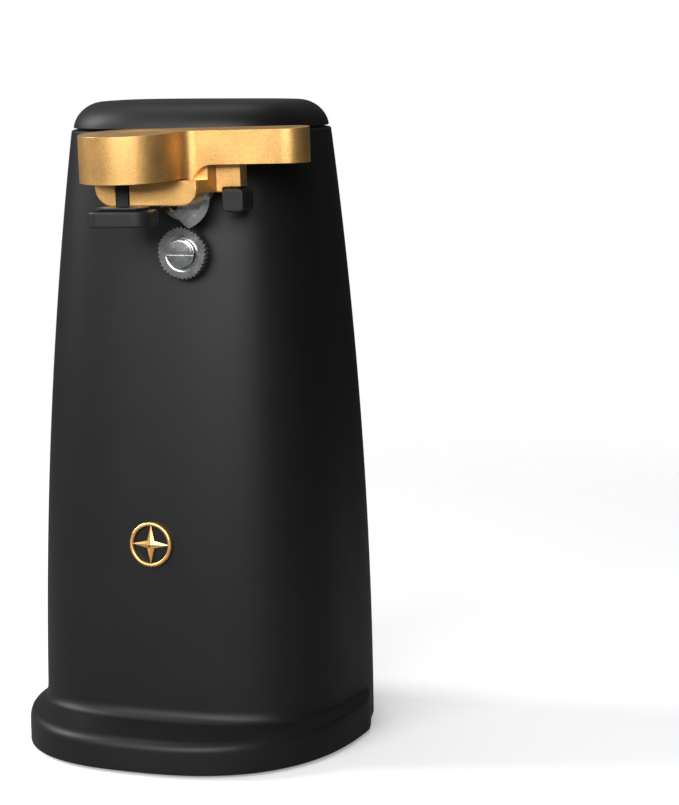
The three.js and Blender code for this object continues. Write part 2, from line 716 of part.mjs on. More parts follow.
// The arm hangs from its pin in the carrier's slot and spreads into an open-bottomed cup.
function magnetArm() {
  const { x, y, bottom, top } = MAGNET;
  const { x: postX, front, halfWidth, topRadius, heel, toe, foot } = MAGNET_POST;
  const cup = pad(MAGNET.cup, [bottom, top]).translate(x, y, 0);
  const well = pad(MAGNET.well, [bottom - 1, top - MAGNET.wellRoof]).translate(x, y, 0);
  const side = new THREE.Shape();
  side.moveTo(front, top - foot);
  side.lineTo(front, MAGNET_PIN.z);
  side.absarc(MAGNET_PIN.y, MAGNET_PIN.z, topRadius, Math.PI, 0, true);
  side.lineTo(...heel);
  side.lineTo(toe, top - foot);
  const post = slabX(side, [postX - halfWidth, postX + halfWidth], 6);
  const pinHole = rodX(MAGNET_PIN.radius + GAP, [postX - 5, postX + 5], MAGNET_PIN.y, MAGNET_PIN.z);
  return cut(join(cup, post), well, pinHole);
}

function lidMagnet() {
  return pad(MAGNET.block, [MAGNET.bottom, MAGNET.top - MAGNET.blockDrop]);
}

// A thin steel keeper plate on top of the cup, forked round the post.
function magnetPlate() {
  const { x, y, top, plate, plateTop, fork } = MAGNET;
  const reach = MAGNET_POST.halfWidth + fork.margin;
  const postX = MAGNET_POST.x - x;
  const sheet = pad(plate, [top + GAP, top + plateTop]);
  return cut(sheet, box([postX - reach, postX + reach], [fork.front - y, 9], [top, top + 2]));
}

// ---------------------------------------------------------------- gears and shafts

const PRESSURE_ANGLE = (20 * Math.PI) / 180;

function involute(angle) {
  return Math.tan(angle) - angle;
}

// A spur gear's outline with its first tooth centred at the given angle.
function gearOutline(teeth, phase) {
  const pitch = (GEAR.module * teeth) / 2;
  const base = pitch * Math.cos(PRESSURE_ANGLE);
  const root = pitch - GEAR.dedendum * GEAR.module;
  const tip = pitch + GEAR.addendum * GEAR.module;
  const halfPitchAngle = Math.PI / (2 * teeth) - GEAR.backlash / (2 * pitch);
  const halfAngleAt = (radius) => {
    const pressure = Math.acos(Math.min(1, base / radius));
    return halfPitchAngle + involute(PRESSURE_ANGLE) - involute(pressure);
  };
  const flank = [root, tip];
  const points = [];
  for (let tooth = 0; tooth < teeth; tooth += 1) {
    const centre = phase + (tooth * Math.PI * 2) / teeth;
    const rising = flank.map((radius) => [radius, centre - halfAngleAt(radius)]);
    const falling = [...flank].reverse().map((radius) => [radius, centre + halfAngleAt(radius)]);
    [...rising, ...falling].forEach(([radius, angle]) => {
      points.push([radius * Math.cos(angle), radius * Math.sin(angle)]);
    });
  }
  return polygon(points);
}

// The phase that puts a gap of the next gear against the tooth of this one, along the line of centres.
function meshedPhase(phase, teeth, nextTeeth, direction) {
  const gapAngle = direction + Math.PI - ((phase - direction) * teeth) / nextTeeth;
  return gapAngle + Math.PI / nextTeeth;
}

function centreDistance(teethA, teethB) {
  return (GEAR.module * (teethA + teethB)) / 2;
}

// The next axis lies a given sideways step away and down, at the distance where the two gears mesh.
function nextAxis(from, sideways, teethA, teethB) {
  const distance = centreDistance(teethA, teethB);
  return { x: from.x + sideways, z: from.z - Math.sqrt(distance ** 2 - sideways ** 2) };
}

function bearing(from, to) {
  return Math.atan2(to.z - from.z, to.x - from.x);
}

const IDLER_2 = nextAxis(DRIVE, -15, TEETH.output, TEETH.small);
const IDLER_1 = nextAxis(IDLER_2, -10, TEETH.big, TEETH.small);
const MOTOR = nextAxis(IDLER_1, 12, TEETH.big, TEETH.pinion);

function gear(teeth, phase, [y0, y1]) {
  return slabY(gearOutline(teeth, phase), [y0, y1], 1);
}

function outputGear() {
  const wheel = gear(TEETH.output, 0, [LAYER_A, LAYER_A + GEAR.width]);
  const web = rodY(OUTPUT_WEB.radius, [LAYER_A - 1, LAYER_A + OUTPUT_WEB.depth]);
  const hub = rodY(GEAR_HUB, [LAYER_A, LAYER_A + GEAR.width]);
  return cut(wheel, cut(web, hub), rodY(SHAFT.drive + GAP, [-50, 0]));
}

// One moulding: a small gear in the layer in front and a big gear behind it.
function idlerGear(frontLayer, smallPhase, bigPhase) {
  const small = gear(TEETH.small, smallPhase, [frontLayer, frontLayer + GEAR.width + 1.5]);
  const backLayer = frontLayer + LAYER_STEP;
  const back = backLayer + GEAR.width;
  const big = gear(TEETH.big, bigPhase, [backLayer, back]);
  const ring = rodY(IDLER_WEB.radius, [back - IDLER_WEB.depth, back + 1]);
  const hub = rodY(GEAR_HUB, [backLayer, back]);
  const dished = cut(big, cut(ring, hub));
  return cut(join(small, dished), rodY(SHAFT.pin + GAP, [-60, 0]));
}

const outputPhase = 0;
const idler2SmallPhase = meshedPhase(outputPhase, TEETH.output, TEETH.small, bearing(DRIVE, IDLER_2));
const idler2BigPhase = 0;
const idler1SmallPhase = meshedPhase(idler2BigPhase, TEETH.big, TEETH.small, bearing(IDLER_2, IDLER_1));
const idler1BigPhase = 0;
const pinionPhase = meshedPhase(idler1BigPhase, TEETH.big, TEETH.pinion, bearing(IDLER_1, MOTOR));

function motorPinion() {
  const wheel = gear(TEETH.pinion, pinionPhase, [LAYER_C - 0.5, LAYER_C + GEAR.width + 0.5]);
  return cut(wheel, rodY(SHAFT.motor + GAP, [-50, 0]));
}

// The hardened wheel that grips the can's rim with its small V teeth.
function driveWheel() {
  const points = [];
  for (let i = 0; i < WHEEL.teeth * 2; i += 1) {
    const radius = i % 2 === 0 ? WHEEL.radius : WHEEL.root;
    const angle = (i * Math.PI) / WHEEL.teeth;
    points.push([radius * Math.cos(angle), radius * Math.sin(angle)]);
  }
  const toothed = slabY(polygon(points), [WHEEL.front, WHEEL.back], 1);
  const hub = rodY(WHEEL.hub, [WHEEL.back - 0.5, WHEEL.hubBack]);
  return cut(join(toothed, hub), rodY(SHAFT.drive + GAP, [-60, -40]));
}

// The drive shaft ends in a slotted head that holds the wheel on.
function driveShaft() {
  const { y, head, headFront, slotBack, slotHalf } = DRIVE_SHAFT;
  const solid = join(rodY(SHAFT.drive, y), rodY(head, [headFront, WHEEL.front - GAP]));
  return cut(solid, box([-6, 6], [headFront - 1.4, slotBack], [-slotHalf, slotHalf]));
}

// A sleeve between two depths with a flange that rests on the front of the gear plate.
function flangedBushing(bore, [front, back]) {
  const { outer, flange, flangeThick } = BUSHING;
  const seat = FRONT_PLATE[0] - GAP;
  const lip = seat - flangeThick;
  const outside = [[outer, front], [outer, lip], [flange, lip], [flange, seat], [outer, seat]];
  return lathe([[bore, front], ...outside, [outer, back], [bore, back], [bore, front]], 20);
}

// ---------------------------------------------------------------- gear plates and motor

// Both plates carry the spacers' screws and the idlers' pins, and each has bores of its own.
function gearPlate([y0, y1], ownBores) {
  const plate = slabY(polygon(PLATE_OUTLINE), [y0, y1]);
  const spacers = SPACER_PLACES.map(([x, z]) => ({ x, z, radius: PLATE_SCREW.shank + GAP }));
  const pins = [IDLER_1, IDLER_2].map(({ x, z }) => ({ x, z, radius: SHAFT.pin + GAP }));
  const through = [y0 - 1, y1 + 1];
  const bores = [...spacers, ...pins, ...ownBores].map(({ x, z, radius }) => rodY(radius, through, x, z));
  return cut(plate, ...bores);
}

function frontGearPlate() {
  const bushings = [PIVOT, DRIVE].map(({ x, z }) => ({ x, z, radius: BUSHING.outer + GAP }));
  return gearPlate(FRONT_PLATE, bushings);
}

function rearGearPlate() {
  const shafts = [{ ...DRIVE, radius: SHAFT.drive + GAP }, { ...MOTOR, radius: MOTOR_CLEARANCE }];
  const motorScrews = MOTOR_SCREW.x.map((x) => ({ x, z: MOTOR.z, radius: PLATE_SCREW.shank + GAP }));
  return gearPlate(REAR_PLATE, [...shafts, ...motorScrews]);
}

function spacerTube() {
  const [y0, y1] = [FRONT_PLATE[1] + GAP, REAR_PLATE[0] - GAP];
  const bore = rodY(PLATE_SCREW.shank + GAP, [y0 - 1, y1 + 1], 0, 0, 12);
  return cut(rodY(SPACER_RADIUS, [y0, y1], 0, 0, 12), bore);
}

// A laminated loop with a bore for the rotor above and a window for the coil below.
function statorStack() {
  const { halfWidth: w, bottom, top, front, back, bore, corners, window: opening } = STATOR;
  const body = slabY(roundedRectangle([-w, w], [bottom, top], corners), [front, back], 4);
  const window = box([-opening.halfWidth, opening.halfWidth], [front - 1, back + 1], [LEG.top, opening.top]);
  const screws = MOTOR_SCREW.x.map((x) => rodY(PLATE_SCREW.shank + GAP, [-1, 30], x, MOTOR.z, 12));
  return cut(body, window, rodY(bore, [-1, 30], MOTOR.x, MOTOR.z, 32), ...screws);
}

// A box along X round the stator's lower leg, larger than the leg by a margin on each side.
function legBox(reach, margin) {
  const depth = [STATOR.front - margin, STATOR.back + margin];
  return box(reach, depth, [LEG.bottom - margin, LEG.top + margin]);
}

// The bobbin's tube goes round the stator's lower leg; a flange at each end holds the winding.
function coilBobbin() {
  const { halfLength, wall, flangeX, flangeThick, flangeY, flangeZ } = BOBBIN;
  const tube = legBox([-halfLength, halfLength], wall);
  const flanges = flangeX.map((x) => box([x, x + flangeThick], flangeY, flangeZ));
  return cut(join(tube, ...flanges), legBox([-20, 20], GAP));
}

function coilWinding() {
  const { halfLength, y, z, corner, bore } = COIL;
  const outline = roundedRectangle(y, z, [corner, corner, corner, corner]);
  return cut(slabX(outline, [-halfLength, halfLength], 4), legBox([-20, 20], bore));
}

function motorBracket([y0, y1]) {
  const { halfLength, halfHeight, corner } = BRACKET;
  const corners = [corner, corner, corner, corner];
  const outline = roundedRectangle([-halfLength, halfLength], [-halfHeight, halfHeight], corners);
  const bar = slabY(outline, [y0, y1], 5);
  const boss = rodY(BRACKET.boss, [y0, y1]);
  const bores = MOTOR_SCREW.x.map((x) => rodY(PLATE_SCREW.shank + GAP, [y0 - 1, y1 + 1], x, 0, 16));
  return cut(join(bar, boss), rodY(SHAFT.motor + GAP, [y0 - 1, y1 + 1]), ...bores);
}

function frontBracket() {
  const { relief, frontRelief, plateRelief } = BRACKET;
  const clearRotor = rodY(relief, [frontRelief, 1]);
  const clearPlate = box([-plateRelief.halfWidth, plateRelief.halfWidth], [-12, plateRelief.back], [-20, 20]);
  return cut(motorBracket(BRACKET.front), clearRotor, clearPlate);
}

function rearBracket() {
  return cut(motorBracket(BRACKET.rear), rodY(BRACKET.relief, [20, BRACKET.rearRelief]));
}

function rotorCore() {
  return cut(rodY(ROTOR.radius, ROTOR.y, 0, 0, 32), rodY(SHAFT.motor + GAP, [-5, 25]));
}

function rotorShaft() {
  return rodY(SHAFT.motor, MOTOR_SHAFT);
}

function coolingFan() {
  const { y, vane } = FAN;
  const hub = rodY(FAN.hub, y);
  const disc = rodY(FAN.radius, [y[0], FAN.discBack], 0, 0, 32);
  const vanes = Array.from({ length: FAN.vanes }, (_, i) => {
    const blade = box(vane.x, vane.y, [-vane.halfThick, vane.halfThick]);
    return blade.rotateY((i * Math.PI * 2) / FAN.vanes);
  });
  return cut(join(hub, disc, ...vanes), rodY(SHAFT.motor + GAP, [20, 40]));
}

function switchBody() {
  const { plungerX: middle, tab, port } = SWITCH;
  const body = box(SWITCH.x, SWITCH.y, SWITCH.z);
  const tabs = SWITCH.tabX.map((x) => box([x - tab.halfWidth, x + tab.halfWidth], tab.y, tab.z));
  const well = box([middle - port.halfWidth, middle + port.halfWidth], port.y, [212, port.top]);
  return cut(join(body, ...tabs), well);
}

function switchPlunger() {
  const { plungerX: x, plunger } = SWITCH;
  return box([x - plunger.halfWidth, x + plunger.halfWidth], plunger.y, plunger.z);
}

function canGuide() {
  const { halfWidth: w, halfHeight: h, corner: r, y } = CAN_GUIDE;
  return slabY(roundedRectangle([-w, w], [-h, h], [r, r, r, r]), y, 4);
}

// ---------------------------------------------------------------- assembly

const canOpener = new THREE.Group();
canOpener.position.y = TOWER_SHIFT;

function addTo(group, name, geometry, finish, position = [0, 0, 0], rotation = [0, 0, 0]) {
  const mesh = new THREE.Mesh(geometry, material(...finish));
  mesh.name = name;
  mesh.position.set(...position);
  mesh.rotation.set(...rotation);
  group.add(mesh);
  return mesh;
}

function addGroup(parent, position = [0, 0, 0], rotation = [0, 0, 0]) {
  const group = new THREE.Group();
  group.position.set(...position);
  group.rotation.set(...rotation);
  parent.add(group);
  return group;
}

const housing = addGroup(canOpener);
addTo(housing, 'main_housing', mainHousing(), BLACK_SHELL);
addTo(housing, 'rear_cover', rearCover(), BLACK_SHELL);
addTo(housing, 'top_cap', topCap(), BLACK_SHELL);
addTo(housing, 'base_plate', basePlate(), BLACK_NYLON);
FOOT_PLACES.forEach(([x, y], i) => {
  addTo(housing, `rubber_foot_${i + 1}`, rubberFoot(), RUBBER, [x, y, 0]);
});
BASE_SCREW_PLACES.forEach(([x, y], i) => {
  const screw = panScrew(BASE_SCREW.head, BASE_SCREW.headHeight, CASE_SCREW.shank, CASE_SCREW.length);
  addTo(housing, `base_screw_${i + 1}`, screw, STEEL, [x, y, BASE_SCREW.seat]);
});
COVER_SCREW.z.forEach((z, i) => {
  const seat = backReach(z) - COVER_SCREW.recessDepth + GAP;
  const screw = panScrew(COVER_SCREW.head, COVER_SCREW.headHeight, CASE_SCREW.shank, COVER_SCREW.length);
  addTo(housing, `cover_screw_${i + 1}`, screw, STEEL, [0, seat, z], [Math.PI / 2, 0, 0]);
});
const glandPlace = [GLAND.x, backReach(GLAND.z) - GLAND.setBack, GLAND.z];
addTo(housing, 'cord_gland', lathe(GLAND_SECTION), RUBBER, glandPlace);

const badgeLean = -Math.atan((2 * TOWER.frontLoss * BADGE.z) / TOWER.height ** 2);
const badgePlace = [0, -frontReach(BADGE.z) - GAP, BADGE.z];
addTo(housing, 'emblem_badge', emblemBadge(), GOLD_PAINT, badgePlace, [badgeLean, 0, 0]);
addTo(housing, 'can_guide', canGuide(), BLACK_NYLON, [CAN_GUIDE.x, 0, CAN_GUIDE.z]);

const gearbox = addGroup(canOpener);
addTo(gearbox, 'front_gear_plate', frontGearPlate(), STEEL);
addTo(gearbox, 'rear_gear_plate', rearGearPlate(), STEEL);
SPACER_PLACES.forEach(([x, z], i) => {
  addTo(gearbox, `plate_spacer_${i + 1}`, spacerTube(), STEEL, [x, 0, z]);
  const screw = panScrew(PLATE_SCREW.head, PLATE_SCREW.headHeight, PLATE_SCREW.shank, PLATE_SCREW.length);
  const place = [x, REAR_PLATE[1] + GAP, z];
  addTo(gearbox, `plate_screw_${i + 1}`, screw, STEEL, place, [Math.PI / 2, 0, 0]);
});
[IDLER_1, IDLER_2].forEach(({ x, z }, i) => {
  const pin = rodY(SHAFT.pin, [FRONT_PLATE[0], REAR_PLATE[1]], 0, 0, 20);
  addTo(gearbox, `idler_pin_${i + 1}`, pin, STEEL, [x, 0, z]);
});
const leverBushing = flangedBushing(SHAFT.pivot + GAP, [-43.2, -33]);
const driveBushing = flangedBushing(SHAFT.drive + GAP, [-46.4, -33.5]);
addTo(gearbox, 'lever_bushing', leverBushing, BRASS, [PIVOT.x, 0, PIVOT.z]);
addTo(gearbox, 'drive_bushing', driveBushing, BRASS, [DRIVE.x, 0, DRIVE.z]);
addTo(gearbox, 'switch_body', switchBody(), BLACK_NYLON);
addTo(gearbox, 'switch_plunger', switchPlunger(), WHITE_PLASTIC);

addTo(gearbox, 'output_gear', outputGear(), NATURAL_NYLON, [DRIVE.x, 0, DRIVE.z]);
addTo(gearbox, 'drive_shaft', driveShaft(), STEEL, [DRIVE.x, 0, DRIVE.z]);
addTo(gearbox, 'drive_wheel', driveWheel(), STEEL, [DRIVE.x, 0, DRIVE.z]);
const idler2 = idlerGear(LAYER_A, idler2SmallPhase, idler2BigPhase);
const idler1 = idlerGear(LAYER_B, idler1SmallPhase, idler1BigPhase);
addTo(gearbox, 'idler_gear_2', idler2, NATURAL_NYLON, [IDLER_2.x, 0, IDLER_2.z]);
addTo(gearbox, 'idler_gear_1', idler1, NATURAL_NYLON, [IDLER_1.x, 0, IDLER_1.z]);

const motor = addGroup(canOpener);
const motorAxis = [MOTOR.x, 0, MOTOR.z];
addTo(motor, 'stator_stack', statorStack(), LAMINATION);
addTo(motor, 'coil_bobbin', coilBobbin(), WHITE_PLASTIC);
addTo(motor, 'coil_winding', coilWinding(), COPPER);
addTo(motor, 'motor_bracket_front', frontBracket(), ZINC, motorAxis);
addTo(motor, 'motor_bracket_rear', rearBracket(), ZINC, motorAxis);
MOTOR_SCREW.x.forEach((x, i) => {
  const place = [x, BRACKET.rear[1] + GAP, MOTOR.z];
  const screw = panScrew(MOTOR_SCREW.head, MOTOR_SCREW.headHeight, PLATE_SCREW.shank, MOTOR_SCREW.length);
  addTo(motor, `motor_screw_${i + 1}`, screw, STEEL, place, [Math.PI / 2, 0, 0]);
});
addTo(motor, 'rotor_core', rotorCore(), LAMINATION, motorAxis);
addTo(motor, 'rotor_shaft', rotorShaft(), STEEL, motorAxis);
addTo(motor, 'motor_pinion', motorPinion(), BRASS, motorAxis);
addTo(motor, 'cooling_fan', coolingFan(), WHITE_PLASTIC, motorAxis);

// The lever's own shapes are level; the whole lever rests tilted about its pivot.
const leverTilt = (-LEVER.tilt * Math.PI) / 180;
const leverPivot = addGroup(canOpener, [PIVOT.x, 0, PIVOT.z], [0, leverTilt, 0]);
const lever = addGroup(leverPivot, [-PIVOT.x, 0, -PIVOT.z]);
addTo(lever, 'lever_shell', leverShell(), GOLD_PAINT);
addTo(lever, 'lever_carrier', leverCarrier(), GOLD_PAINT);
addTo(lever, 'cutter_blade', cutterBlade(), STEEL);
BLADE.rivets.forEach(([x, z], i) => {
  addTo(lever, `blade_rivet_${i + 1}`, rivet(), STEEL, [x, RIVET.seat, z], [Math.PI, 0, 0]);
});
const hingePin = rodX(MAGNET_PIN.radius, [MAGNET_PIN.left, MAGNET_PIN.right], 0, 0, 16);
addTo(lever, 'magnet_pin', hingePin, STEEL, [0, MAGNET_PIN.y, MAGNET_PIN.z]);
addTo(lever, 'pivot_shaft', pivotShaft(), STEEL, [PIVOT.x, 0, PIVOT.z]);
addTo(lever, 'switch_cam', switchCam(), BLACK_NYLON, [PIVOT.x, 0, PIVOT.z]);
addTo(lever, 'magnet_arm', magnetArm(), BLACK_NYLON);
addTo(lever, 'lid_magnet', lidMagnet(), FERRITE, [MAGNET.x, MAGNET.y, 0]);
addTo(lever, 'magnet_plate', magnetPlate(), BLACK_OXIDE, [MAGNET.x, MAGNET.y, 0]);

export default canOpener;
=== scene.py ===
import json
import math

import bmesh
import bpy
from mathutils import Matrix, Vector


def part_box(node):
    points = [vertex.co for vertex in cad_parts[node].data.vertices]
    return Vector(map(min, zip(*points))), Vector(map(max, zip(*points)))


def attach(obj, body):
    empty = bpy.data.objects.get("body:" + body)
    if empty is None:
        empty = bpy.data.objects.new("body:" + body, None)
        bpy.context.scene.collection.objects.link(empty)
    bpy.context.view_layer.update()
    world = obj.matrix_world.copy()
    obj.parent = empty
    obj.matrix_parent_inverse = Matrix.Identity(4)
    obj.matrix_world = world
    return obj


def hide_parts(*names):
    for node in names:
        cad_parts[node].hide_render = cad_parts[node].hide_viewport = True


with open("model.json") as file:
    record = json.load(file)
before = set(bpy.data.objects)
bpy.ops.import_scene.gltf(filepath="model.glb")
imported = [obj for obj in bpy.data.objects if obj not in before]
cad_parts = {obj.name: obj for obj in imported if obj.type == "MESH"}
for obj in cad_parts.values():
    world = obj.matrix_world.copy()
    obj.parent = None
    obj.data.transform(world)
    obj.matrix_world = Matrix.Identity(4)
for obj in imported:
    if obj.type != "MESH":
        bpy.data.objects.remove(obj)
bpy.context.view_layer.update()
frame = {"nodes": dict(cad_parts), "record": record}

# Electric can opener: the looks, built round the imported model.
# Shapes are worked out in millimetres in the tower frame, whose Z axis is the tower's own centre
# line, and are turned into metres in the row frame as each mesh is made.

MM = 0.001

# ---------------------------------------------------------------- driving dimensions

HEIGHT = 240.0
HALF_WIDTH, HALF_WIDTH_LOSS = 59.0, 14.0
FRONT, FRONT_LOSS = 56.0, 16.6
BACK, BACK_LOSS = 48.5, 14.5
FRONT_SQUARENESS, BACK_SQUARENESS = 3.0, 3.3
PLINTH_HALF_WIDTH, PLINTH_FRONT, PLINTH_SQUARENESS = 63.4, 75.6, 2.56
PLINTH_SIDE_FADE = math.radians(24)  # behind the centre line, the plinth dies out by this angle
SKIRT_BOTTOM, CAP_SEAM = 1.2, 230.0
WALL, GAP = 2.4, 0.3
CAP_INSET, CAP_ROUND = 0.6, 9.4
WINDOW_HALF, WINDOW_LOW, WINDOW_HIGH = 33.0, 24.0, 218.0

COVER_SCREW_HEIGHTS = (34, 208)
COVER_SCREW_SINK = 1.2  # the cover's screws sit this deep under its surface
COVER_VENTS, COVER_VENT_HALF, COVER_VENT_Z = (-12, -6, 0, 6, 12), 1.2, (60, 84)
GLAND_X, GLAND_Z, GLAND_HOLE = 22, 34, 6.4

LEVER_TILT = math.radians(1.3)
PIVOT_X, PIVOT_Z = -8.0, 219.0
PIVOT_SHAFT = 4.0  # the lever shaft's radius
BUSHING_HOLE = 5.8


def front_reach(z):
    return FRONT - FRONT_LOSS * (z / HEIGHT) ** 2


def back_reach(z):
    return BACK - BACK_LOSS * (z / HEIGHT) ** 2


def half_width(z):
    return HALF_WIDTH - HALF_WIDTH_LOSS * (z / HEIGHT) ** 2


# The tower's centre line, found from the back of the casing at its lower edge.
AXIS_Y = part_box("main_housing")[1].y / MM - back_reach(SKIRT_BOTTOM)


def to_row(x, y, z):
    """A tower-frame point in millimetres as a row-frame point in metres."""
    return Vector((x, y + AXIS_Y, z)) * MM


def tilted(x, y, z):
    """A point of the lever, drawn level, moved to where the lever rests."""
    dx, dz = x - PIVOT_X, z - PIVOT_Z
    c, s = math.cos(LEVER_TILT), math.sin(LEVER_TILT)
    return PIVOT_X + dx * c - dz * s, y, PIVOT_Z + dx * s + dz * c


# ---------------------------------------------------------------- mesh tools


def mesh_object(name, points, faces, move=None):
    move = move or (lambda x, y, z: (x, y, z))
    mesh = bpy.data.meshes.new(name)
    mesh.from_pydata([to_row(*move(*p)) for p in points], [], faces)
    mesh.validate()
    obj = bpy.data.objects.new(name, mesh)
    bpy.context.collection.objects.link(obj)
    tidy_normals(obj)
    return obj


def tidy_normals(obj):
    shape = bmesh.new()
    shape.from_mesh(obj.data)
    bmesh.ops.remove_doubles(shape, verts=shape.verts, dist=1e-7)
    bmesh.ops.recalc_face_normals(shape, faces=shape.faces)
    shape.to_mesh(obj.data)
    shape.free()


def apply_modifiers(obj):
    """Replaces the object's mesh with the one its modifiers give."""
    graph = bpy.context.evaluated_depsgraph_get()
    mesh = bpy.data.meshes.new_from_object(obj.evaluated_get(graph))
    old = obj.data
    obj.modifiers.clear()
    obj.data = mesh
    bpy.data.meshes.remove(old)
    return obj


def boolean(obj, tool, operation):
    modifier = obj.modifiers.new("cut", "BOOLEAN")
    modifier.object = tool
    modifier.operation = operation
    modifier.solver = "EXACT"
    apply_modifiers(obj)
    bpy.data.objects.remove(tool)
    return obj


def cut(obj, *tools):
    for tool in tools:
        boolean(obj, tool, "DIFFERENCE")
    return obj


def common(obj, *tools):
    for tool in tools:
        boolean(obj, tool, "INTERSECT")
    return obj


def join(obj, *tools):
    for tool in tools:
        boolean(obj, tool, "UNION")
    return obj


def bevel(obj, width, segments=3, angle=35):
    modifier = obj.modifiers.new("edge", "BEVEL")
    modifier.width = width * MM
    modifier.segments = segments
    modifier.limit_method = "ANGLE"
    modifier.angle_limit = math.radians(angle)
    modifier.use_clamp_overlap = True
    modifier.miter_outer = "MITER_ARC"
    return apply_modifiers(obj)


def shade(obj, angle):
    """Smooth faces with crisp edges; big flat faces keep their own normal."""
    mesh = obj.data
    mesh.polygons.foreach_set("use_smooth", [True] * len(mesh.polygons))
    mesh.set_sharp_from_angle(angle=math.radians(angle))
    modifier = obj.modifiers.new("normals", "WEIGHTED_NORMAL")
    modifier.keep_sharp = True
    modifier.weight = 80
    return apply_modifiers(obj)


def arc(cx, cy, radius, start, end, steps):
    """Points on an arc, in degrees, both ends included."""
    turns = [math.radians(start + (end - start) * i / steps) for i in range(steps + 1)]
    return [(cx + radius * math.cos(t), cy + radius * math.sin(t)) for t in turns]


def rounded(x0, x1, y0, y1, radii, steps=10):
    """A rectangle with four corner radii, anticlockwise from the lower left."""
    a, b, c, d = radii
    outline = arc(x0 + a, y0 + a, a, 180, 270, steps) + arc(x1 - b, y0 + b, b, 270, 360, steps)
    return outline + arc(x1 - c, y1 - c, c, 0, 90, steps) + arc(x0 + d, y1 - d, d, 90, 180, steps)


def prism(name, outline, axis, low, high, move=None):
    """An outline extruded along an axis: "X" takes (y, z), "Y" takes (x, z) and "Z" takes (x, y)."""
    at = {
        "X": lambda a, b, h: (h, a, b),
        "Y": lambda a, b, h: (a, h, b),
        "Z": lambda a, b, h: (a, b, h),
    }[axis]
    count = len(outline)
    points = [at(a, b, h) for h in (low, high) for a, b in outline]
    sides = [(i, (i + 1) % count, (i + 1) % count + count, i + count) for i in range(count)]
    ends = [tuple(reversed(range(count))), tuple(range(count, 2 * count))]
    return mesh_object(name, points, sides + ends, move)


def block(name, x, y, z, move=None):
    outline = [(x[0], y[0]), (x[1], y[0]), (x[1], y[1]), (x[0], y[1])]
    return prism(name, outline, "Z", z[0], z[1], move)


def turned(name, profile, centre, axis="Z", steps=64, move=None):
    """A turned piece. Profile points are (radius, height along the axis).

    A profile that starts on the axis also ends there, and any other is a closed loop.
    """
    cx, cy, cz = centre
    at = {
        "X": lambda a, b, h: (cx + h, cy + a, cz + b),
        "Y": lambda a, b, h: (cx + a, cy + h, cz + b),
        "Z": lambda a, b, h: (cx + a, cy + b, cz + h),
    }[axis]
    on_axis = profile[0][0] == 0
    body = profile[1:-1] if on_axis else profile
    points, faces = [], []
    for radius, height in body:
        points += [at(radius * c, radius * s, height) for c, s in turns_of(steps)]
    rows = len(body)
    links = range(rows - 1) if on_axis else range(rows)
    for row in links:
        a, b = row * steps, ((row + 1) % rows) * steps
        faces += [(a + i, a + (i + 1) % steps, b + (i + 1) % steps, b + i) for i in range(steps)]
    if on_axis:
        for (_, height), start in ((profile[0], 0), (profile[-1], (rows - 1) * steps)):
            points.append(at(0, 0, height))
            pole = len(points) - 1
            faces += [(start + i, start + (i + 1) % steps, pole) for i in range(steps)]
    return mesh_object(name, points, faces, move)


def turns_of(steps):
    return [(math.cos(2 * math.pi * i / steps), math.sin(2 * math.pi * i / steps)) for i in range(steps)]


def rod(name, radius, axis, centre, low, high, steps=48, move=None):
    return turned(name, [(0, low), (radius, low), (radius, high), (0, high)], centre, axis, steps, move)


# ---------------------------------------------------------------- materials


def noise(nodes, links, coords, size, stretch=(1, 1, 1), detail=3.0):
    """A noise texture whose features are about `size` metres, drawn out along an axis by `stretch`."""
    mapping = nodes.new("ShaderNodeMapping")
    mapping.inputs["Scale"].default_value = [1 / (size * s) for s in stretch]
    texture = nodes.new("ShaderNodeTexNoise")
    texture.inputs["Scale"].default_value = 1.0
    texture.inputs["Detail"].default_value = detail
    texture.inputs["Roughness"].default_value = 0.55
    links.new(coords, mapping.inputs["Vector"])
    links.new(mapping.outputs["Vector"], texture.inputs["Vector"])
    return texture.outputs["Fac"]


def bands(nodes, links, coords, size, axis):
    """Fine parallel ridges about `size` metres apart along an axis, for laminations and windings."""
    texture = nodes.new("ShaderNodeTexWave")
    texture.wave_type = "BANDS"
    texture.bands_direction = axis
    texture.inputs["Scale"].default_value = 0.314 / size
    texture.inputs["Distortion"].default_value = 0.0
    links.new(coords, texture.inputs["Vector"])
    return texture.outputs["Fac"]


def remap(nodes, links, value, low, high):
    node = nodes.new("ShaderNodeMapRange")
    node.inputs["From Min"].default_value = 0.25
    node.inputs["From Max"].default_value = 0.75
    node.inputs["To Min"].default_value = low
    node.inputs["To Max"].default_value = high
    links.new(value, node.inputs["Value"])
    return node.outputs["Result"]


def blend_colours(nodes, links, factor, dark, light):
    node = nodes.new("ShaderNodeMix")
    node.data_type = "RGBA"
    links.new(factor, node.inputs["Factor"])
    node.inputs["A"].default_value = (*dark, 1)
    node.inputs["B"].default_value = (*light, 1)
    return node.outputs["Result"]


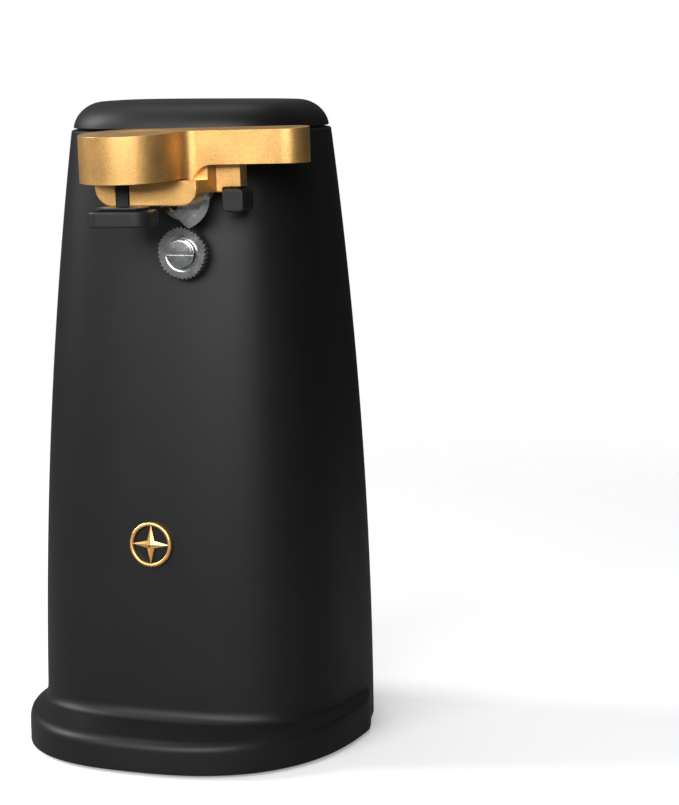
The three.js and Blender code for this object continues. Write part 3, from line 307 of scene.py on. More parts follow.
def surface(
    name,
    colour,
    roughness,
    metallic=0.0,
    specular=0.5,
    shift=0.1,
    blotch=0.012,
    grain=0.0004,
    stretch=(1, 1, 1),
    bump=0.1,
    depth=0.00003,
    rough_shift=0.05,
    ridges=None,
    speckle=None,
    coat=0.0,
):
    """A procedural finish: slow colour drift, uneven gloss, and a fine grain in relief."""
    material = bpy.data.materials.new(name)
    material.use_nodes = True
    nodes, links = material.node_tree.nodes, material.node_tree.links
    shader = nodes["Principled BSDF"]
    coords = nodes.new("ShaderNodeTexCoord").outputs["Object"]
    dark = [c * (1 - shift) for c in colour]
    light = [min(1.0, c * (1 + shift)) for c in colour]
    drift = noise(nodes, links, coords, blotch)
    if speckle:
        fine = noise(nodes, links, coords, speckle, detail=1.0)
        mixer = nodes.new("ShaderNodeMath")
        mixer.operation = "MULTIPLY_ADD"
        mixer.inputs[1].default_value = 0.8
        mixer.inputs[2].default_value = -0.4
        links.new(fine, mixer.inputs[0])
        adder = nodes.new("ShaderNodeMath")
        adder.operation = "ADD"
        links.new(drift, adder.inputs[0])
        links.new(mixer.outputs[0], adder.inputs[1])
        drift = adder.outputs[0]
    factor = remap(nodes, links, drift, 0.0, 1.0)
    links.new(blend_colours(nodes, links, factor, dark, light), shader.inputs["Base Color"])
    patchy = noise(nodes, links, coords, blotch * 0.6)
    gloss = remap(nodes, links, patchy, roughness - rough_shift, roughness + rough_shift)
    links.new(gloss, shader.inputs["Roughness"])
    relief = bands(nodes, links, coords, *ridges) if ridges else noise(nodes, links, coords, grain, stretch)
    bumper = nodes.new("ShaderNodeBump")
    bumper.inputs["Strength"].default_value = bump
    bumper.inputs["Distance"].default_value = depth
    links.new(relief, bumper.inputs["Height"])
    links.new(bumper.outputs["Normal"], shader.inputs["Normal"])
    shader.inputs["Metallic"].default_value = metallic
    shader.inputs["Specular IOR Level"].default_value = specular
    shader.inputs["Coat Weight"].default_value = coat
    shader.inputs["Coat Roughness"].default_value = 0.25
    return material


def make_finishes():
    black = (0.0058, 0.0058, 0.006)
    return {
        "housing_black": surface(
            "matt_black_housing", black, 0.46, specular=0.25, shift=0.06, blotch=0.03, grain=0.00035,
            bump=0.12, depth=0.00002, rough_shift=0.03,
        ),
        "nylon_black": surface(
            "black_nylon", (0.009, 0.009, 0.0095), 0.5, specular=0.35, shift=0.12, grain=0.0005, bump=0.22,
            depth=0.00003,
        ),
        "rubber_black": surface(
            "black_rubber", (0.013, 0.013, 0.013), 0.78, specular=0.3, shift=0.2, grain=0.0006, bump=0.35,
            depth=0.00005,
        ),
        "gold_paint": surface(
            "champagne_gold_paint", (0.84, 0.475, 0.155), 0.37, metallic=0.9, shift=0.2, blotch=0.02,
            speckle=0.0006, grain=0.0005, bump=0.6, depth=0.00007, rough_shift=0.05, coat=0.7,
        ),
        "bronze": surface(
            "sintered_bronze", (0.55, 0.36, 0.16), 0.42, metallic=0.95, shift=0.15, speckle=0.0003, bump=0.3,
        ),
        "zinc_casting": surface(
            "zinc_casting", (0.50, 0.51, 0.53), 0.5, metallic=0.9, shift=0.12, blotch=0.006, bump=0.35,
            depth=0.00006,
        ),
        "lamination": surface(
            "stacked_laminations", (0.22, 0.23, 0.25), 0.45, metallic=0.9, shift=0.15, ridges=(0.0005, "Y"),
            bump=0.8, depth=0.0001,
        ),
        "copper": surface(
            "enamelled_copper", (0.52, 0.17, 0.06), 0.3, metallic=0.9, shift=0.15, ridges=(0.00045, "X"),
            bump=0.9, depth=0.00015, coat=0.4,
        ),
        "white_plastic": surface(
            "white_moulding", (0.74, 0.73, 0.69), 0.45, specular=0.5, shift=0.04, bump=0.12,
        ),
        "natural_nylon": surface(
            "natural_nylon", (0.76, 0.72, 0.60), 0.4, specular=0.5, shift=0.06, blotch=0.008, bump=0.15,
        ),
        "ferrite": surface(
            "ferrite", (0.03, 0.03, 0.033), 0.62, metallic=0.2, shift=0.25, speckle=0.0004, bump=0.4,
            depth=0.00005,
        ),
        "black_oxide": surface(
            "blackened_steel", (0.035, 0.035, 0.037), 0.4, metallic=0.7, shift=0.15, speckle=0.0005,
            bump=0.25,
        ),
        "plate_steel": surface(
            "zinc_plated_sheet", (0.52, 0.54, 0.56), 0.34, metallic=1.0, shift=0.12, blotch=0.004,
            grain=0.0003, stretch=(30, 30, 1), bump=0.2, depth=0.00002,
        ),
        "steel": surface(
            "bright_steel", (0.60, 0.61, 0.62), 0.24, metallic=1.0, shift=0.06, blotch=0.006, grain=0.00012,
            stretch=(40, 1, 1), bump=0.25, depth=0.00001,
        ),
    }


FINISHES = make_finishes()
SLOT_OF = {row["node"]: row["material_slot"] for row in frame["record"]["subparts"]}


def paint(obj, slot):
    obj.data.materials.clear()
    obj.data.materials.append(FINISHES[slot])


def place(obj, node, body, angle=32):
    """A finished piece: it takes the node's finish, rides on its body and stands for the CAD node."""
    shade(obj, angle)
    slot = SLOT_OF[node]
    paint(obj, slot)
    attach(obj, body)
    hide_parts(node)
    return obj


# ---------------------------------------------------------------- tower outline

AROUND = 192  # points round the tower's plan


def superellipse(turn, width, depth, squareness):
    c, s = math.cos(turn), math.sin(turn)
    reach = (abs(c) ** squareness + abs(s) ** squareness) ** (-1 / squareness)
    return width * c * reach, depth * s * reach


def plinth_left(turn):
    """How much of the plinth is left at an angle of the plan: all in front, and none at the back."""
    behind = math.atan2(max(0.0, math.sin(turn)), abs(math.cos(turn)))
    t = min(1.0, behind / PLINTH_SIDE_FADE)
    return 1 - t * t * (3 - 2 * t)


def outline_point(turn, z, inset, share):
    """A point of the plan at height z, drawn in by an inset and spread by the plinth's share."""
    at_front = math.sin(turn) < 0
    depth = (front_reach(z) if at_front else back_reach(z)) - inset
    squareness = FRONT_SQUARENESS if at_front else BACK_SQUARENESS
    tower = superellipse(turn, half_width(z) - inset, depth, squareness)
    share *= plinth_left(turn)
    if share == 0:
        return tower
    depth = (PLINTH_FRONT if at_front else back_reach(z)) - inset
    squareness = PLINTH_SQUARENESS if at_front else BACK_SQUARENESS
    plinth = superellipse(turn, PLINTH_HALF_WIDTH - inset, depth, squareness)
    return tuple(a + (b - a) * share for a, b in zip(tower, plinth))


def ring(z, inset, share=0.0):
    turns = [2 * math.pi * i / AROUND for i in range(AROUND)]
    return [(*outline_point(turn, z, inset, share), z) for turn in turns]


def loft(name, rings, closed=True):
    """Skins rings of equal count. A closed loft joins its last ring to its first; an open one is capped."""
    count = len(rings[0])
    points = [p for one in rings for p in one]
    rows = len(rings)
    faces = []
    for row in range(rows if closed else rows - 1):
        a, b = row * count, ((row + 1) % rows) * count
        faces += [(a + i, a + (i + 1) % count, b + (i + 1) % count, b + i) for i in range(count)]
    if not closed:
        faces.append(tuple(reversed(range(count))))
        faces.append(tuple(range((rows - 1) * count, rows * count)))
    return mesh_object(name, points, faces)


def crown_fill(rings, z):
    """Rings that close a flat top from the last ring towards the middle."""
    last = rings[-1]
    scales = (0.94, 0.8, 0.55, 0.3, 0.1)
    return [[(x * k, y * k, z) for x, y, _ in last] for k in scales]


# ---------------------------------------------------------------- casing


def plinth_profile():
    """(height, share of the plinth's outline): a vertical wall, a rounded edge, then a hollow rise."""
    wall = [(SKIRT_BOTTOM + 0.8, 1.0), (5.0, 1.0), (8.0, 1.0)]
    edge_low, edge_rise, edge_in = 9.6, 4.0, 0.24
    steps = [math.radians(90 * i / 8) for i in range(9)]
    edge = [(edge_low + edge_rise * math.sin(t), 1 - edge_in * (1 - math.cos(t))) for t in steps]
    foot_start, foot_end, foot_share = 15.6, 20.5, 0.2
    hollow = [
        (foot_start + (foot_end - foot_start) * (1 - math.cos(t)), foot_share * (1 - math.sin(t)))
        for t in steps
    ]
    return wall + edge + hollow


def casing_rings():
    bottom = SKIRT_BOTTOM
    rings = [ring(bottom, 0.9, 1), ring(bottom + 0.1, 0.5, 1), ring(bottom + 0.35, 0.15, 1)]
    rings += [ring(z, 0, share) for z, share in plinth_profile()]
    rings += [ring(z, 0) for z in range(24, 228, 6)]
    top = CAP_SEAM - GAP
    rings += [ring(top - 0.9, 0), ring(top - 0.45, 0.08), ring(top - 0.12, 0.32), ring(top, 0.7)]
    rings += [ring(top, WALL - 0.3), ring(top - 0.3, WALL)]
    rings += [ring(z, WALL) for z in (200, 160, 120, 80, 40, 15)]
    rings += [ring(13, WALL, 0.4), ring(10, WALL, 1)]
    rings += [ring(bottom + 0.3, WALL, 1), ring(bottom, WALL - 0.3, 1)]
    return rings


def main_housing():
    casing = loft("main_housing_skin", casing_rings())
    half = WINDOW_HALF
    window = prism("window", rounded(-half, half, WINDOW_LOW, WINDOW_HIGH, (3, 3, 3, 3)), "Y", 10, 80)
    cut(casing, window)
    for bridge_z in COVER_SCREW_HEIGHTS:
        bar = block("bridge", (-55, 55), (24.5, 28.5), (bridge_z - 6, bridge_z + 6))
        core = loft("core", [ring(bridge_z - 7, WALL - 1), ring(bridge_z + 7, WALL - 1)], closed=False)
        join(casing, common(bar, core))
    for node in ("lever_bushing", "drive_bushing"):
        low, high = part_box(node)
        centre = ((low.x + high.x) / 2 / MM, 0, (low.z + high.z) / 2 / MM)
        cut(casing, rod("hole", BUSHING_HOLE, "Y", centre, -60, -36.5))
    return place(casing, "main_housing", "housing")


def back_surface(x, z):
    spread = 1 - abs(x / half_width(z)) ** BACK_SQUARENESS
    return back_reach(z) * spread ** (1 / BACK_SQUARENESS)


def rear_cover():
    """The curved panel in the window: a grid on the back wall with its edges rolled in."""
    margin, roll = GAP, 0.8
    xs = edge_steps(-WINDOW_HALF + margin, WINDOW_HALF - margin, 44, roll)
    zs = edge_steps(WINDOW_LOW + margin, WINDOW_HIGH - margin, 70, roll)

    def dip(value, steps):
        near = min(value - steps[0], steps[-1] - value)
        return 0 if near >= roll else roll - math.sqrt(max(0.0, roll**2 - (roll - near) ** 2))

    outer = [(x, back_surface(x, z) - max(dip(x, xs), dip(z, zs)), z) for z in zs for x in xs]
    inner = [(x, back_surface(x, z) - WALL, z) for z in zs for x in xs]
    columns, rows = len(xs), len(zs)
    faces = []
    for r in range(rows - 1):
        for c in range(columns - 1):
            a = r * columns + c
            quad = (a, a + 1, a + columns + 1, a + columns)
            faces += [quad, tuple(i + columns * rows for i in reversed(quad))]
    rim = list(range(columns)) + [r * columns + columns - 1 for r in range(1, rows)]
    rim += [(rows - 1) * columns + c for c in reversed(range(columns - 1))]
    rim += [r * columns for r in reversed(range(1, rows - 1))]
    for i, a in enumerate(rim):
        b = rim[(i + 1) % len(rim)]
        faces.append((a, b, b + columns * rows, a + columns * rows))
    cover = mesh_object("rear_cover_panel", outer + inner, faces)
    for screw_z in COVER_SCREW_HEIGHTS:
        seat = back_reach(screw_z) - COVER_SCREW_SINK
        profile = [(0, 22), (1.8, 22), (1.8, seat), (3.7, seat), (4.0, seat + 0.3), (4.3, seat + 1.4)]
        profile += [(4.3, 60), (0, 60)]
        cut(cover, turned("screw_seat", profile, (0, 0, screw_z), "Y", 40))
    cut(cover, rod("gland_hole", GLAND_HOLE, "Y", (GLAND_X, 0, GLAND_Z), 20, 60))
    half = COVER_VENT_HALF
    for x in COVER_VENTS:
        outline = rounded(x - half, x + half, *COVER_VENT_Z, (half - 0.01,) * 4, 6)
        cut(cover, prism("vent", outline, "Y", 20, 60))
    return place(cover, "rear_cover", "housing")


def edge_steps(low, high, count, roll):
    """Even steps with a few close ones near each end, where the edge rolls in."""
    close = [0.06, 0.2, 0.45, 0.8, 1.2]
    inner = [low + roll * 1.6 + (high - low - roll * 3.2) * i / count for i in range(count + 1)]
    start = [low] + [low + roll * k for k in close]
    end = [high - roll * k for k in reversed(close)] + [high]
    return start + inner[1:-1] + end


def top_cap():
    base, top = CAP_SEAM + GAP, HEIGHT
    crown = top - CAP_ROUND
    turns = [math.radians(90 * i / 18) for i in range(19)]
    inside = WALL + 0.3
    rings = [ring(base + 0.5, inside + 2), ring(base - 4, inside + 2), ring(base - 4.2, inside + 1.7)]
    rings += [ring(base - 4.2, inside + 0.3), ring(base - 4, inside), ring(base - 0.05, inside)]
    rings += [ring(base, CAP_INSET + 0.5), ring(base + 0.12, CAP_INSET + 0.18), ring(base + 0.4, CAP_INSET)]
    rings += [ring(crown + CAP_ROUND * math.sin(t), CAP_INSET + CAP_ROUND * (1 - math.cos(t))) for t in turns]
    rings += crown_fill(rings, top)
    hollow = [ring(base + 5, inside + 2.6), ring(top - 2.4, 10)]
    hollow_top = crown_fill(hollow, top - 2.4)
    rings = list(reversed(hollow_top)) + [hollow[1], hollow[0]] + rings
    return place(loft("top_cap_shell", rings, closed=False), "top_cap", "housing")


# ---------------------------------------------------------------- base, feet, screws and gland

FOOT_PLACES = [(-44, -42), (44, -42), (-40, 30), (40, 30)]
BASE_SCREW_PLACES = [(-51, -28), (51, -28), (-50, 14), (50, 14)]
SPACER_PLACES = [(-28, 201), (34, 160), (21, 121), (-34, 100)]
BASE_LOW, BASE_HIGH = 1.6, 4.2
FOOT_RADIUS, FOOT_HEIGHT, FOOT_ROUND = 7.0, 2.6, 0.9
BASE_VENTS, BASE_VENT_HALF, BASE_VENT_Y = (-18, -6, 6, 18), 2.6, (-12, 16)
SCREW_HEAD_HOLE, SCREW_SHANK_HOLE = 3.6, 1.8


def base_plate():
    inset = WALL + GAP
    rings = [ring(BASE_LOW, inset + 0.4, 1), ring(BASE_LOW + 0.4, inset, 1), ring(BASE_HIGH, inset, 1)]
    plate = loft("base_plate_sheet", rings, closed=False)
    for x, y in FOOT_PLACES:
        cut(plate, rod("foot_hole", FOOT_RADIUS + GAP, "Z", (x, y, 0), 0, 8))
    for x, y in BASE_SCREW_PLACES:
        profile = [(0, 0), (SCREW_HEAD_HOLE, 0), (SCREW_HEAD_HOLE, 3), (SCREW_SHANK_HOLE, 3)]
        profile += [(SCREW_SHANK_HOLE, 8), (0, 8)]
        cut(plate, turned("screw_hole", profile, (x, y, 0), "Z", 40))
    half = BASE_VENT_HALF
    for x in BASE_VENTS:
        outline = rounded(x - half, x + half, *BASE_VENT_Y, (half - 0.01,) * 4, 8)
        cut(plate, prism("vent", outline, "Z", 0, 8))
    return place(plate, "base_plate", "housing")


def rubber_feet():
    """Turned pads with a rounded rim and a shallow ring groove in the sole."""
    sole = [(0, 0.25), (3.4, 0.25), (3.7, 0), (4.6, 0), (6.0, 0)]
    rim = [(6.0 + FOOT_ROUND * math.sin(t), FOOT_ROUND * (1 - math.cos(t))) for t in quarter(5)]
    top = [(FOOT_RADIUS, FOOT_HEIGHT - 0.3), (FOOT_RADIUS - 0.2, FOOT_HEIGHT), (0, FOOT_HEIGHT)]
    for i, (x, y) in enumerate(FOOT_PLACES, 1):
        profile = sole + rim[1:] + top
        place(turned(f"foot_pad_{i}", profile, (x, y, 0)), f"rubber_foot_{i}", "housing")


def quarter(steps):
    return [math.radians(90 * i / steps) for i in range(steps + 1)]


def pan_screw(name, node, body, centre, head, rise, shank, length, axis="Z", flip=False):
    """A pan-head screw with a crossed recess and a cut thread. Its head points down the axis, or up it."""
    dome = [(head * math.sin(t), -rise * (0.45 + 0.55 * math.cos(t))) for t in quarter(7)]
    thread = []
    start, pitch = 1.2, 0.9
    turns = int((length - start - 1.0) / pitch)
    for i in range(turns):
        low = start + i * pitch
        thread += [(shank - 0.28, low), (shank, low + pitch * 0.4), (shank, low + pitch * 0.6)]
    tip = [(shank - 0.28, start + turns * pitch), (shank - 0.4, length - 0.4)]
    tip += [(shank - 0.9, length), (0, length)]
    profile = dome + [(head, -0.15), (head - 0.15, 0), (shank - 0.28, 0)] + thread + tip
    if flip:
        profile = [(r, -h) for r, h in profile]
    screw = turned(name, profile, centre, axis, 40)
    side = -1 if flip else 1
    near, far = sorted((-side * (rise + 1), -side * rise * 0.3))
    wide, narrow = head * 0.52, head * 0.13
    for across, along in ((wide, narrow), (narrow, wide)):
        cx, cy, cz = centre
        if axis == "Z":
            bar = block("recess", (cx - across, cx + across), (cy - along, cy + along), (cz + near, cz + far))
        else:
            bar = block("recess", (cx - across, cx + across), (cy + near, cy + far), (cz - along, cz + along))
        cut(screw, bar)
    return place(screw, node, body, angle=38)


def screws():
    for i, (x, y) in enumerate(BASE_SCREW_PLACES, 1):
        pan_screw(f"base_pan_screw_{i}", f"base_screw_{i}", "housing", (x, y, 2.7), 3.0, 1.2, 1.5, 12)
    for i, z in enumerate(COVER_SCREW_HEIGHTS, 1):
        seat = back_reach(z) - COVER_SCREW_SINK + GAP
        name = f"cover_pan_screw_{i}"
        pan_screw(name, f"cover_screw_{i}", "housing", (0, seat, z), 3.2, 1.2, 1.5, 13, "Y", flip=True)


def cord_gland():
    """A rubber sleeve: a collar on each side of the wall and a rounded lip round the bore."""
    turns = [math.radians(a) for a in range(0, 181, 20)]
    lip = [(4.6 + 1.0 * math.cos(t), 4.0 + 1.0 * math.sin(t)) for t in turns]
    profile = [(3.6, -4.6), (4.0, -5), (5.7, -5), (6, -4.7), (6, 3.2)]
    profile += [(8.2, 3.2), (8.4, 3.4), (8.4, 3.9), (8.0, 4.2), (6.4, 4.3), *lip]
    centre = (GLAND_X, back_reach(GLAND_Z) - 2.9, GLAND_Z)
    return place(turned("cord_gland_sleeve", profile, centre, "Y"), "cord_gland", "housing")


# ---------------------------------------------------------------- emblem and can guide

BADGE_Z = 81.0
BADGE_LEAN = -math.atan(2 * FRONT_LOSS * BADGE_Z / HEIGHT**2)


def leaned(x, y, z):
    """A point of the emblem, drawn about its own middle, laid against the leaning front."""
    c, s = math.cos(BADGE_LEAN), math.sin(BADGE_LEAN)
    return x, y * c - z * s - front_reach(BADGE_Z) - GAP, y * s + z * c + BADGE_Z


def emblem_badge():
    """A round-edged ring with a ridged four-pointed star across it."""
    mean, half, low, high = 7.55, 0.65, 0.0, 1.4
    band = [(mean - half, -low), (mean + half, -low)]
    band += [(mean + half * math.cos(t), -(high - 0.5) - 0.5 * math.sin(t)) for t in half_turn(8)]
    badge = turned("emblem", band, (0, 0, 0), "Y", 96, leaned)
    reach, waist, edge, ridge = 7.4, 1.9, 0.75, 1.25
    turns = [math.pi * i / 4 for i in range(8)]
    radii = [reach if i % 2 == 0 else waist for i in range(8)]
    tips = [(r * math.cos(t), r * math.sin(t)) for r, t in zip(radii, turns)]
    points = [(x, -0.1, z) for x, z in tips] + [(x, -edge, z) for x, z in tips]
    points += [(0, -ridge, 0), (0, -0.1, 0)]
    faces = []
    for i in range(8):
        j = (i + 1) % 8
        faces += [(i, j, j + 8, i + 8), (i + 8, j + 8, 16), (j, i, 17)]
    join(badge, mesh_object("star", points, faces, leaned))
    return place(badge, "emblem_badge", "housing", angle=25)


def half_turn(steps):
    return [math.radians(180 * i / steps) for i in range(steps + 1)]


GUIDE_X, GUIDE_Y, GUIDE_Z, GUIDE_CORNER = (30.9, 39.1), (-56.4, -46.3), (202.4, 210.4), 1.6


def can_guide():
    """The moulded finger beside the wheel that a can's rim runs along."""
    outline = rounded(*GUIDE_X, *GUIDE_Z, (GUIDE_CORNER,) * 4, 8)
    finger = prism("can_guide_finger", outline, "Y", *GUIDE_Y)
    bevel(finger, 0.7, 4)
    return place(finger, "can_guide", "housing")


# ---------------------------------------------------------------- lever

HEAD_X, HEAD_Y, HEAD_RADIUS = -0.4, -62.0, 19.0
NECK_RADIUS = 5.0
ARM_FRONT, ARM_BACK, ARM_END = -60.0, -44.6, 54.9
SHELL = 2.2
LEVER_TOP, SKIRT_LOW, ARM_LOW = 230.1, 213.7, 218.3
TOP_SLOPE, LOW_SLOPE = 0.046, 0.055
STEP_X, STEP_WIDTH, STEP_HEIGHT = 22.0, 7.5, 4.8
LEVER_Z = (190, 245)  # heights well below and above the lever


def lever_plan(inset, step=4):
    """The lever from above: a round head cut off at the back, a small neck fillet and a straight arm."""
    radius, neck = HEAD_RADIUS - inset, NECK_RADIUS + inset
    front, back = ARM_FRONT + inset, ARM_BACK - inset
    neck_y = front - neck
    neck_x = HEAD_X + math.sqrt((radius + neck) ** 2 - (neck_y - HEAD_Y) ** 2)
    meet = math.degrees(math.atan2(neck_y - HEAD_Y, neck_x - HEAD_X))
    left = math.degrees(math.asin((back - HEAD_Y) / radius))
    end = (back - front) / 2
    outline = arc(HEAD_X, HEAD_Y, radius, 180 - left, 360 + meet, int((180 + left + meet) / step))
    outline += arc(neck_x, neck_y, neck, 180 + meet, 90, 8)[1:]
    outline += arc(ARM_END, front + end, end, -90, 90, 36)
    return outline


def lever_front(top, skirt, arm):
    """The lever from the front: a deep skirt under the head, a quarter curve, then the shallow arm."""
    centre_x, centre_z = STEP_X + STEP_WIDTH, arm - STEP_HEIGHT
    step = [(centre_x - STEP_WIDTH * math.cos(t), centre_z + STEP_HEIGHT * math.sin(t)) for t in quarter(16)]
    return [(-40, top), (-40, skirt), (STEP_X, skirt), *step, (80, arm), (80, top)]


def lever_side(top, low, top_slope, low_slope):
    """The lever from the side: its top and underside both fall towards the front."""
    near, far = -90, -40
    return [
        (near, low + low_slope * (near - HEAD_Y)),
        (far, low + low_slope * (far - HEAD_Y)),
        (far, top + top_slope * (far - HEAD_Y)),
        (near, top + top_slope * (near - HEAD_Y)),
    ]


def lever_body(inset, top, low, arm):
    body = prism("lever_block", lever_plan(inset), "Z", *LEVER_Z, tilted)
    common(body, prism("front", lever_front(top + 10, low - 6, arm), "Y", -100, -30, tilted))
    return common(body, prism("side", lever_side(top, low, TOP_SLOPE, LOW_SLOPE), "X", -50, 90, tilted))


def lever_shell():
    shell = lever_body(0, LEVER_TOP, SKIRT_LOW, ARM_LOW)
    bevel(shell, 1.0, 5, 40)
    cut(shell, lever_body(SHELL, LEVER_TOP - SHELL, SKIRT_LOW - 20, ARM_LOW - 20))
    cut(shell, thumb_dish())
    cut(shell, rod("shaft_hole", PIVOT_SHAFT + GAP, "Y", (PIVOT_X, 0, PIVOT_Z), -50, -40, move=tilted))
    return place(shell, "lever_shell", "lever", angle=30)


def thumb_dish():
    """The shallow round hollow in the top of the head: a wide bowl with a soft rim."""
    radius, depth, x = 13.0, 0.9, HEAD_X + 2
    profile = [(0, -depth)]
    profile += [(radius * k, -depth * (1 - k**6) + 0.02) for k in (0.3, 0.5, 0.7, 0.82, 0.9, 0.95, 0.98, 1.0)]
    profile += [(radius + 0.6, 0.3), (radius + 0.6, 6), (0, 6)]

    def laid(dx, dy, h):
        return tilted(x + dx, HEAD_Y + dy, LEVER_TOP + h + TOP_SLOPE * dy)

    return turned("dish", profile, (0, 0, 0), "Z", 72, laid)


CARRIER_X, CARRIER_Y, CARRIER_Z = (-14.8, 24.6), (-64.0, -45.4), (204.2, 226.4)
LEDGE_LEFT, LEDGE_BACK, LEDGE_TOP = 10.0, -52.0, 213.1
RIB_X, RIB_FRONT, RIB_LOW = (27.5, 36.8), -53.0, 209.9
WEB_RIGHT, WEB_LOW = 29.8, 208.2
MAGNET_SLOT = (-6.75, -1.25)
MAGNET_SLOT_BACK = -57.8
PIN_X, PIN_Y, PIN_Z, PIN_RADIUS = (-10.0, 2.0), -61.2, 215.0, 1.25
RIVETS = ((11.5, 210.5), (18.5, 210.5))
RIVET_SEAT, RIVET_HOLE, RIVET_SINK = -48.4, 1.9, 2.9
BLADE_LEFT, BLADE_RIGHT, BLADE_TOP, BLADE_TIP = 6.0, 25.0, 214.0, 195.5
BLADE_BACK, BLADE_THICK = -53.2, 1.6


def lever_carrier():
    """The block under the head that holds the blade, the magnet's pin and the lever's shaft."""
    outline = rounded(*CARRIER_X, *CARRIER_Z, (7, 6, 0.5, 0.5), 12)
    carrier = prism("lever_carrier_block", outline, "Y", *CARRIER_Y, tilted)
    bevel(carrier, 0.6, 4, 40)
    join(carrier, corner_web())
    room = prism("room", lever_plan(SHELL + GAP), "Z", *LEVER_Z, tilted)
    below = (LEDGE_LEFT, RIB_X[1]), (CARRIER_Y[0] - 1, LEDGE_BACK), (200, LEDGE_TOP)
    join(room, block("below_the_neck", *below, tilted))
    common(carrier, room)
    cut(carrier, block("slot", MAGNET_SLOT, (-70, MAGNET_SLOT_BACK), (200, 220), tilted))
    ends = (PIN_X[0] - 1.5, PIN_X[1] + 1.5)
    cut(carrier, rod("pin_hole", PIN_RADIUS + GAP, "X", (0, PIN_Y, PIN_Z), *ends, move=tilted))
    cut(carrier, rod("shaft_hole", PIVOT_SHAFT + GAP, "Y", (PIVOT_X, 0, PIVOT_Z), -58, -40, move=tilted))
    width = (BLADE_LEFT - GAP, BLADE_RIGHT + GAP)
    depth = (BLADE_BACK - BLADE_THICK - GAP, BLADE_BACK + GAP)
    cut(carrier, block("blade_slot", width, depth, (200, BLADE_TOP + GAP), tilted))
    for x, z in RIVETS:
        cut(carrier, rod("rivet_hole", RIVET_HOLE, "Y", (x, 0, z), -58, -45, move=tilted))
        cut(carrier, rod("rivet_sink", RIVET_SINK, "Y", (x, 0, z), RIVET_SEAT - GAP, -40, move=tilted))
    return place(carrier, "lever_carrier", "lever", angle=30)


def corner_web():
    """The rib behind the can guide, and the leaning wall that joins it to the carrier's front."""
    right, (front, back) = CARRIER_X[1], CARRIER_Y
    plan = [(right - 1, front + 1), (right, front + 1), (RIB_X[0], RIB_FRONT), (RIB_X[1], RIB_FRONT)]
    plan += [(RIB_X[1], back), (right - 1, back)]
    web = prism("web", plan, "Z", WEB_LOW, CARRIER_Z[1], tilted)
    cut(web, block("under_rib", (WEB_RIGHT, 50), (-70, -40), (190, RIB_LOW), tilted))
    return bevel(web, 0.5, 3, 50)


def curve(start, control, end, steps):
    """Points of a quadratic curve after its start."""
    points = []
    for i in range(1, steps + 1):
        t = i / steps
        points.append(
            tuple((1 - t) ** 2 * a + 2 * t * (1 - t) * b + t**2 * c for a, b, c in zip(start, control, end))
        )
    return points


def drawn_in(outline, widths):
    """An anticlockwise outline with each point moved inwards by its own width."""
    moved = []
    for i, (x, z) in enumerate(outline):
        (ax, az), (bx, bz) = outline[i - 1], outline[(i + 1) % len(outline)]
        dx, dz = bx - ax, bz - az
        size = math.hypot(dx, dz)
        moved.append((x - dz / size * widths[i], z + dx / size * widths[i]))
    return moved


def cutter_blade():
    """A stamped plate with a plough-shaped corner whose curved edges are ground to a bevel."""
    shoulder, notch, tip = (BLADE_LEFT, 203.5), (13.0, 198.5), (16.2, BLADE_TIP)
    outline = [(BLADE_LEFT, BLADE_TOP), shoulder, *curve(shoulder, (BLADE_LEFT + 3, 199.5), notch, 10)]
    outline += [(13.8, 197.75), (14.6, 197.0), (15.4, 196.25), tip]
    ground_from = len(outline) - 1
    outline += curve(tip, (BLADE_RIGHT - 0.6, 198.6), (BLADE_RIGHT, 206.5), 24)
    outline += [(BLADE_RIGHT, 209), (BLADE_RIGHT, BLADE_TOP)]
    grind = 2.3
    widths = [0.0] * ground_from + [0.7]
    widths += [grind * min(1.0, 0.45 + 0.11 * i) for i in range(23)] + [grind * 0.8, 0.25, 0.0]
    widths[1:ground_from] = [0.35] * (ground_from - 1)
    inner = drawn_in(outline, widths)
    back, front = BLADE_BACK, BLADE_BACK - BLADE_THICK
    layers = [(outline, back), (outline, back - 0.35), (inner, front)]
    count = len(outline)
    points = [(x, y, z) for shape, y in layers for x, z in shape]
    faces = [tuple(range(count)), tuple(reversed(range(2 * count, 3 * count)))]
    for row in range(2):
        a, b = row * count, (row + 1) * count
        faces += [(a + i, a + (i + 1) % count, b + (i + 1) % count, b + i) for i in range(count)]
    blade = mesh_object("cutter_blade_plate", points, faces, tilted)
    for x, z in RIVETS:
        cut(blade, rod("rivet_hole", RIVET_HOLE, "Y", (x, 0, z), -60, -50, move=tilted))
    eye = [(0, -60), (1.6, -60), (1.6, front - 0.02), (1.2, front + 0.3), (1.2, -50), (0, -50)]
    cut(blade, turned("eye", eye, (11.4, 0, 203.2), "Y", 32, tilted))
    return place(blade, "cutter_blade", "lever", angle=25)


def blade_rivets():
    for i, (x, z) in enumerate(RIVETS, 1):
        dome = [(2.6 * math.sin(t), 0.2 + 0.8 * math.cos(t)) for t in quarter(8)]
        profile = [*dome, (2.6, 0), (1.6, 0), (1.6, -8.7), (1.3, -9), (0, -9)]
        rivet = turned(f"rivet_{i}", profile, (x, RIVET_SEAT, z), "Y", 40, tilted)
        place(rivet, f"blade_rivet_{i}", "lever")


def magnet_pin():
    left, right = PIN_X
    end_radius = PIN_RADIUS - 0.3
    profile = [(0, left), (end_radius, left), (PIN_RADIUS, left + 0.3)]
    profile += [(PIN_RADIUS, right - 0.3), (end_radius, right), (0, right)]
    pin = turned("magnet_hinge_pin", profile, (0, PIN_Y, PIN_Z), "X", 40, tilted)
    return place(pin, "magnet_pin", "lever")


# ---------------------------------------------------------------- lid magnet

MAGNET_X, MAGNET_Y = -1.6, -69.5
MAGNET_HALF, MAGNET_DEEP = 11.9, 8.0
MAGNET_LOW, MAGNET_HIGH = 197.5, 203.3
POST_X, POST_HALF = -4.0, 2.4
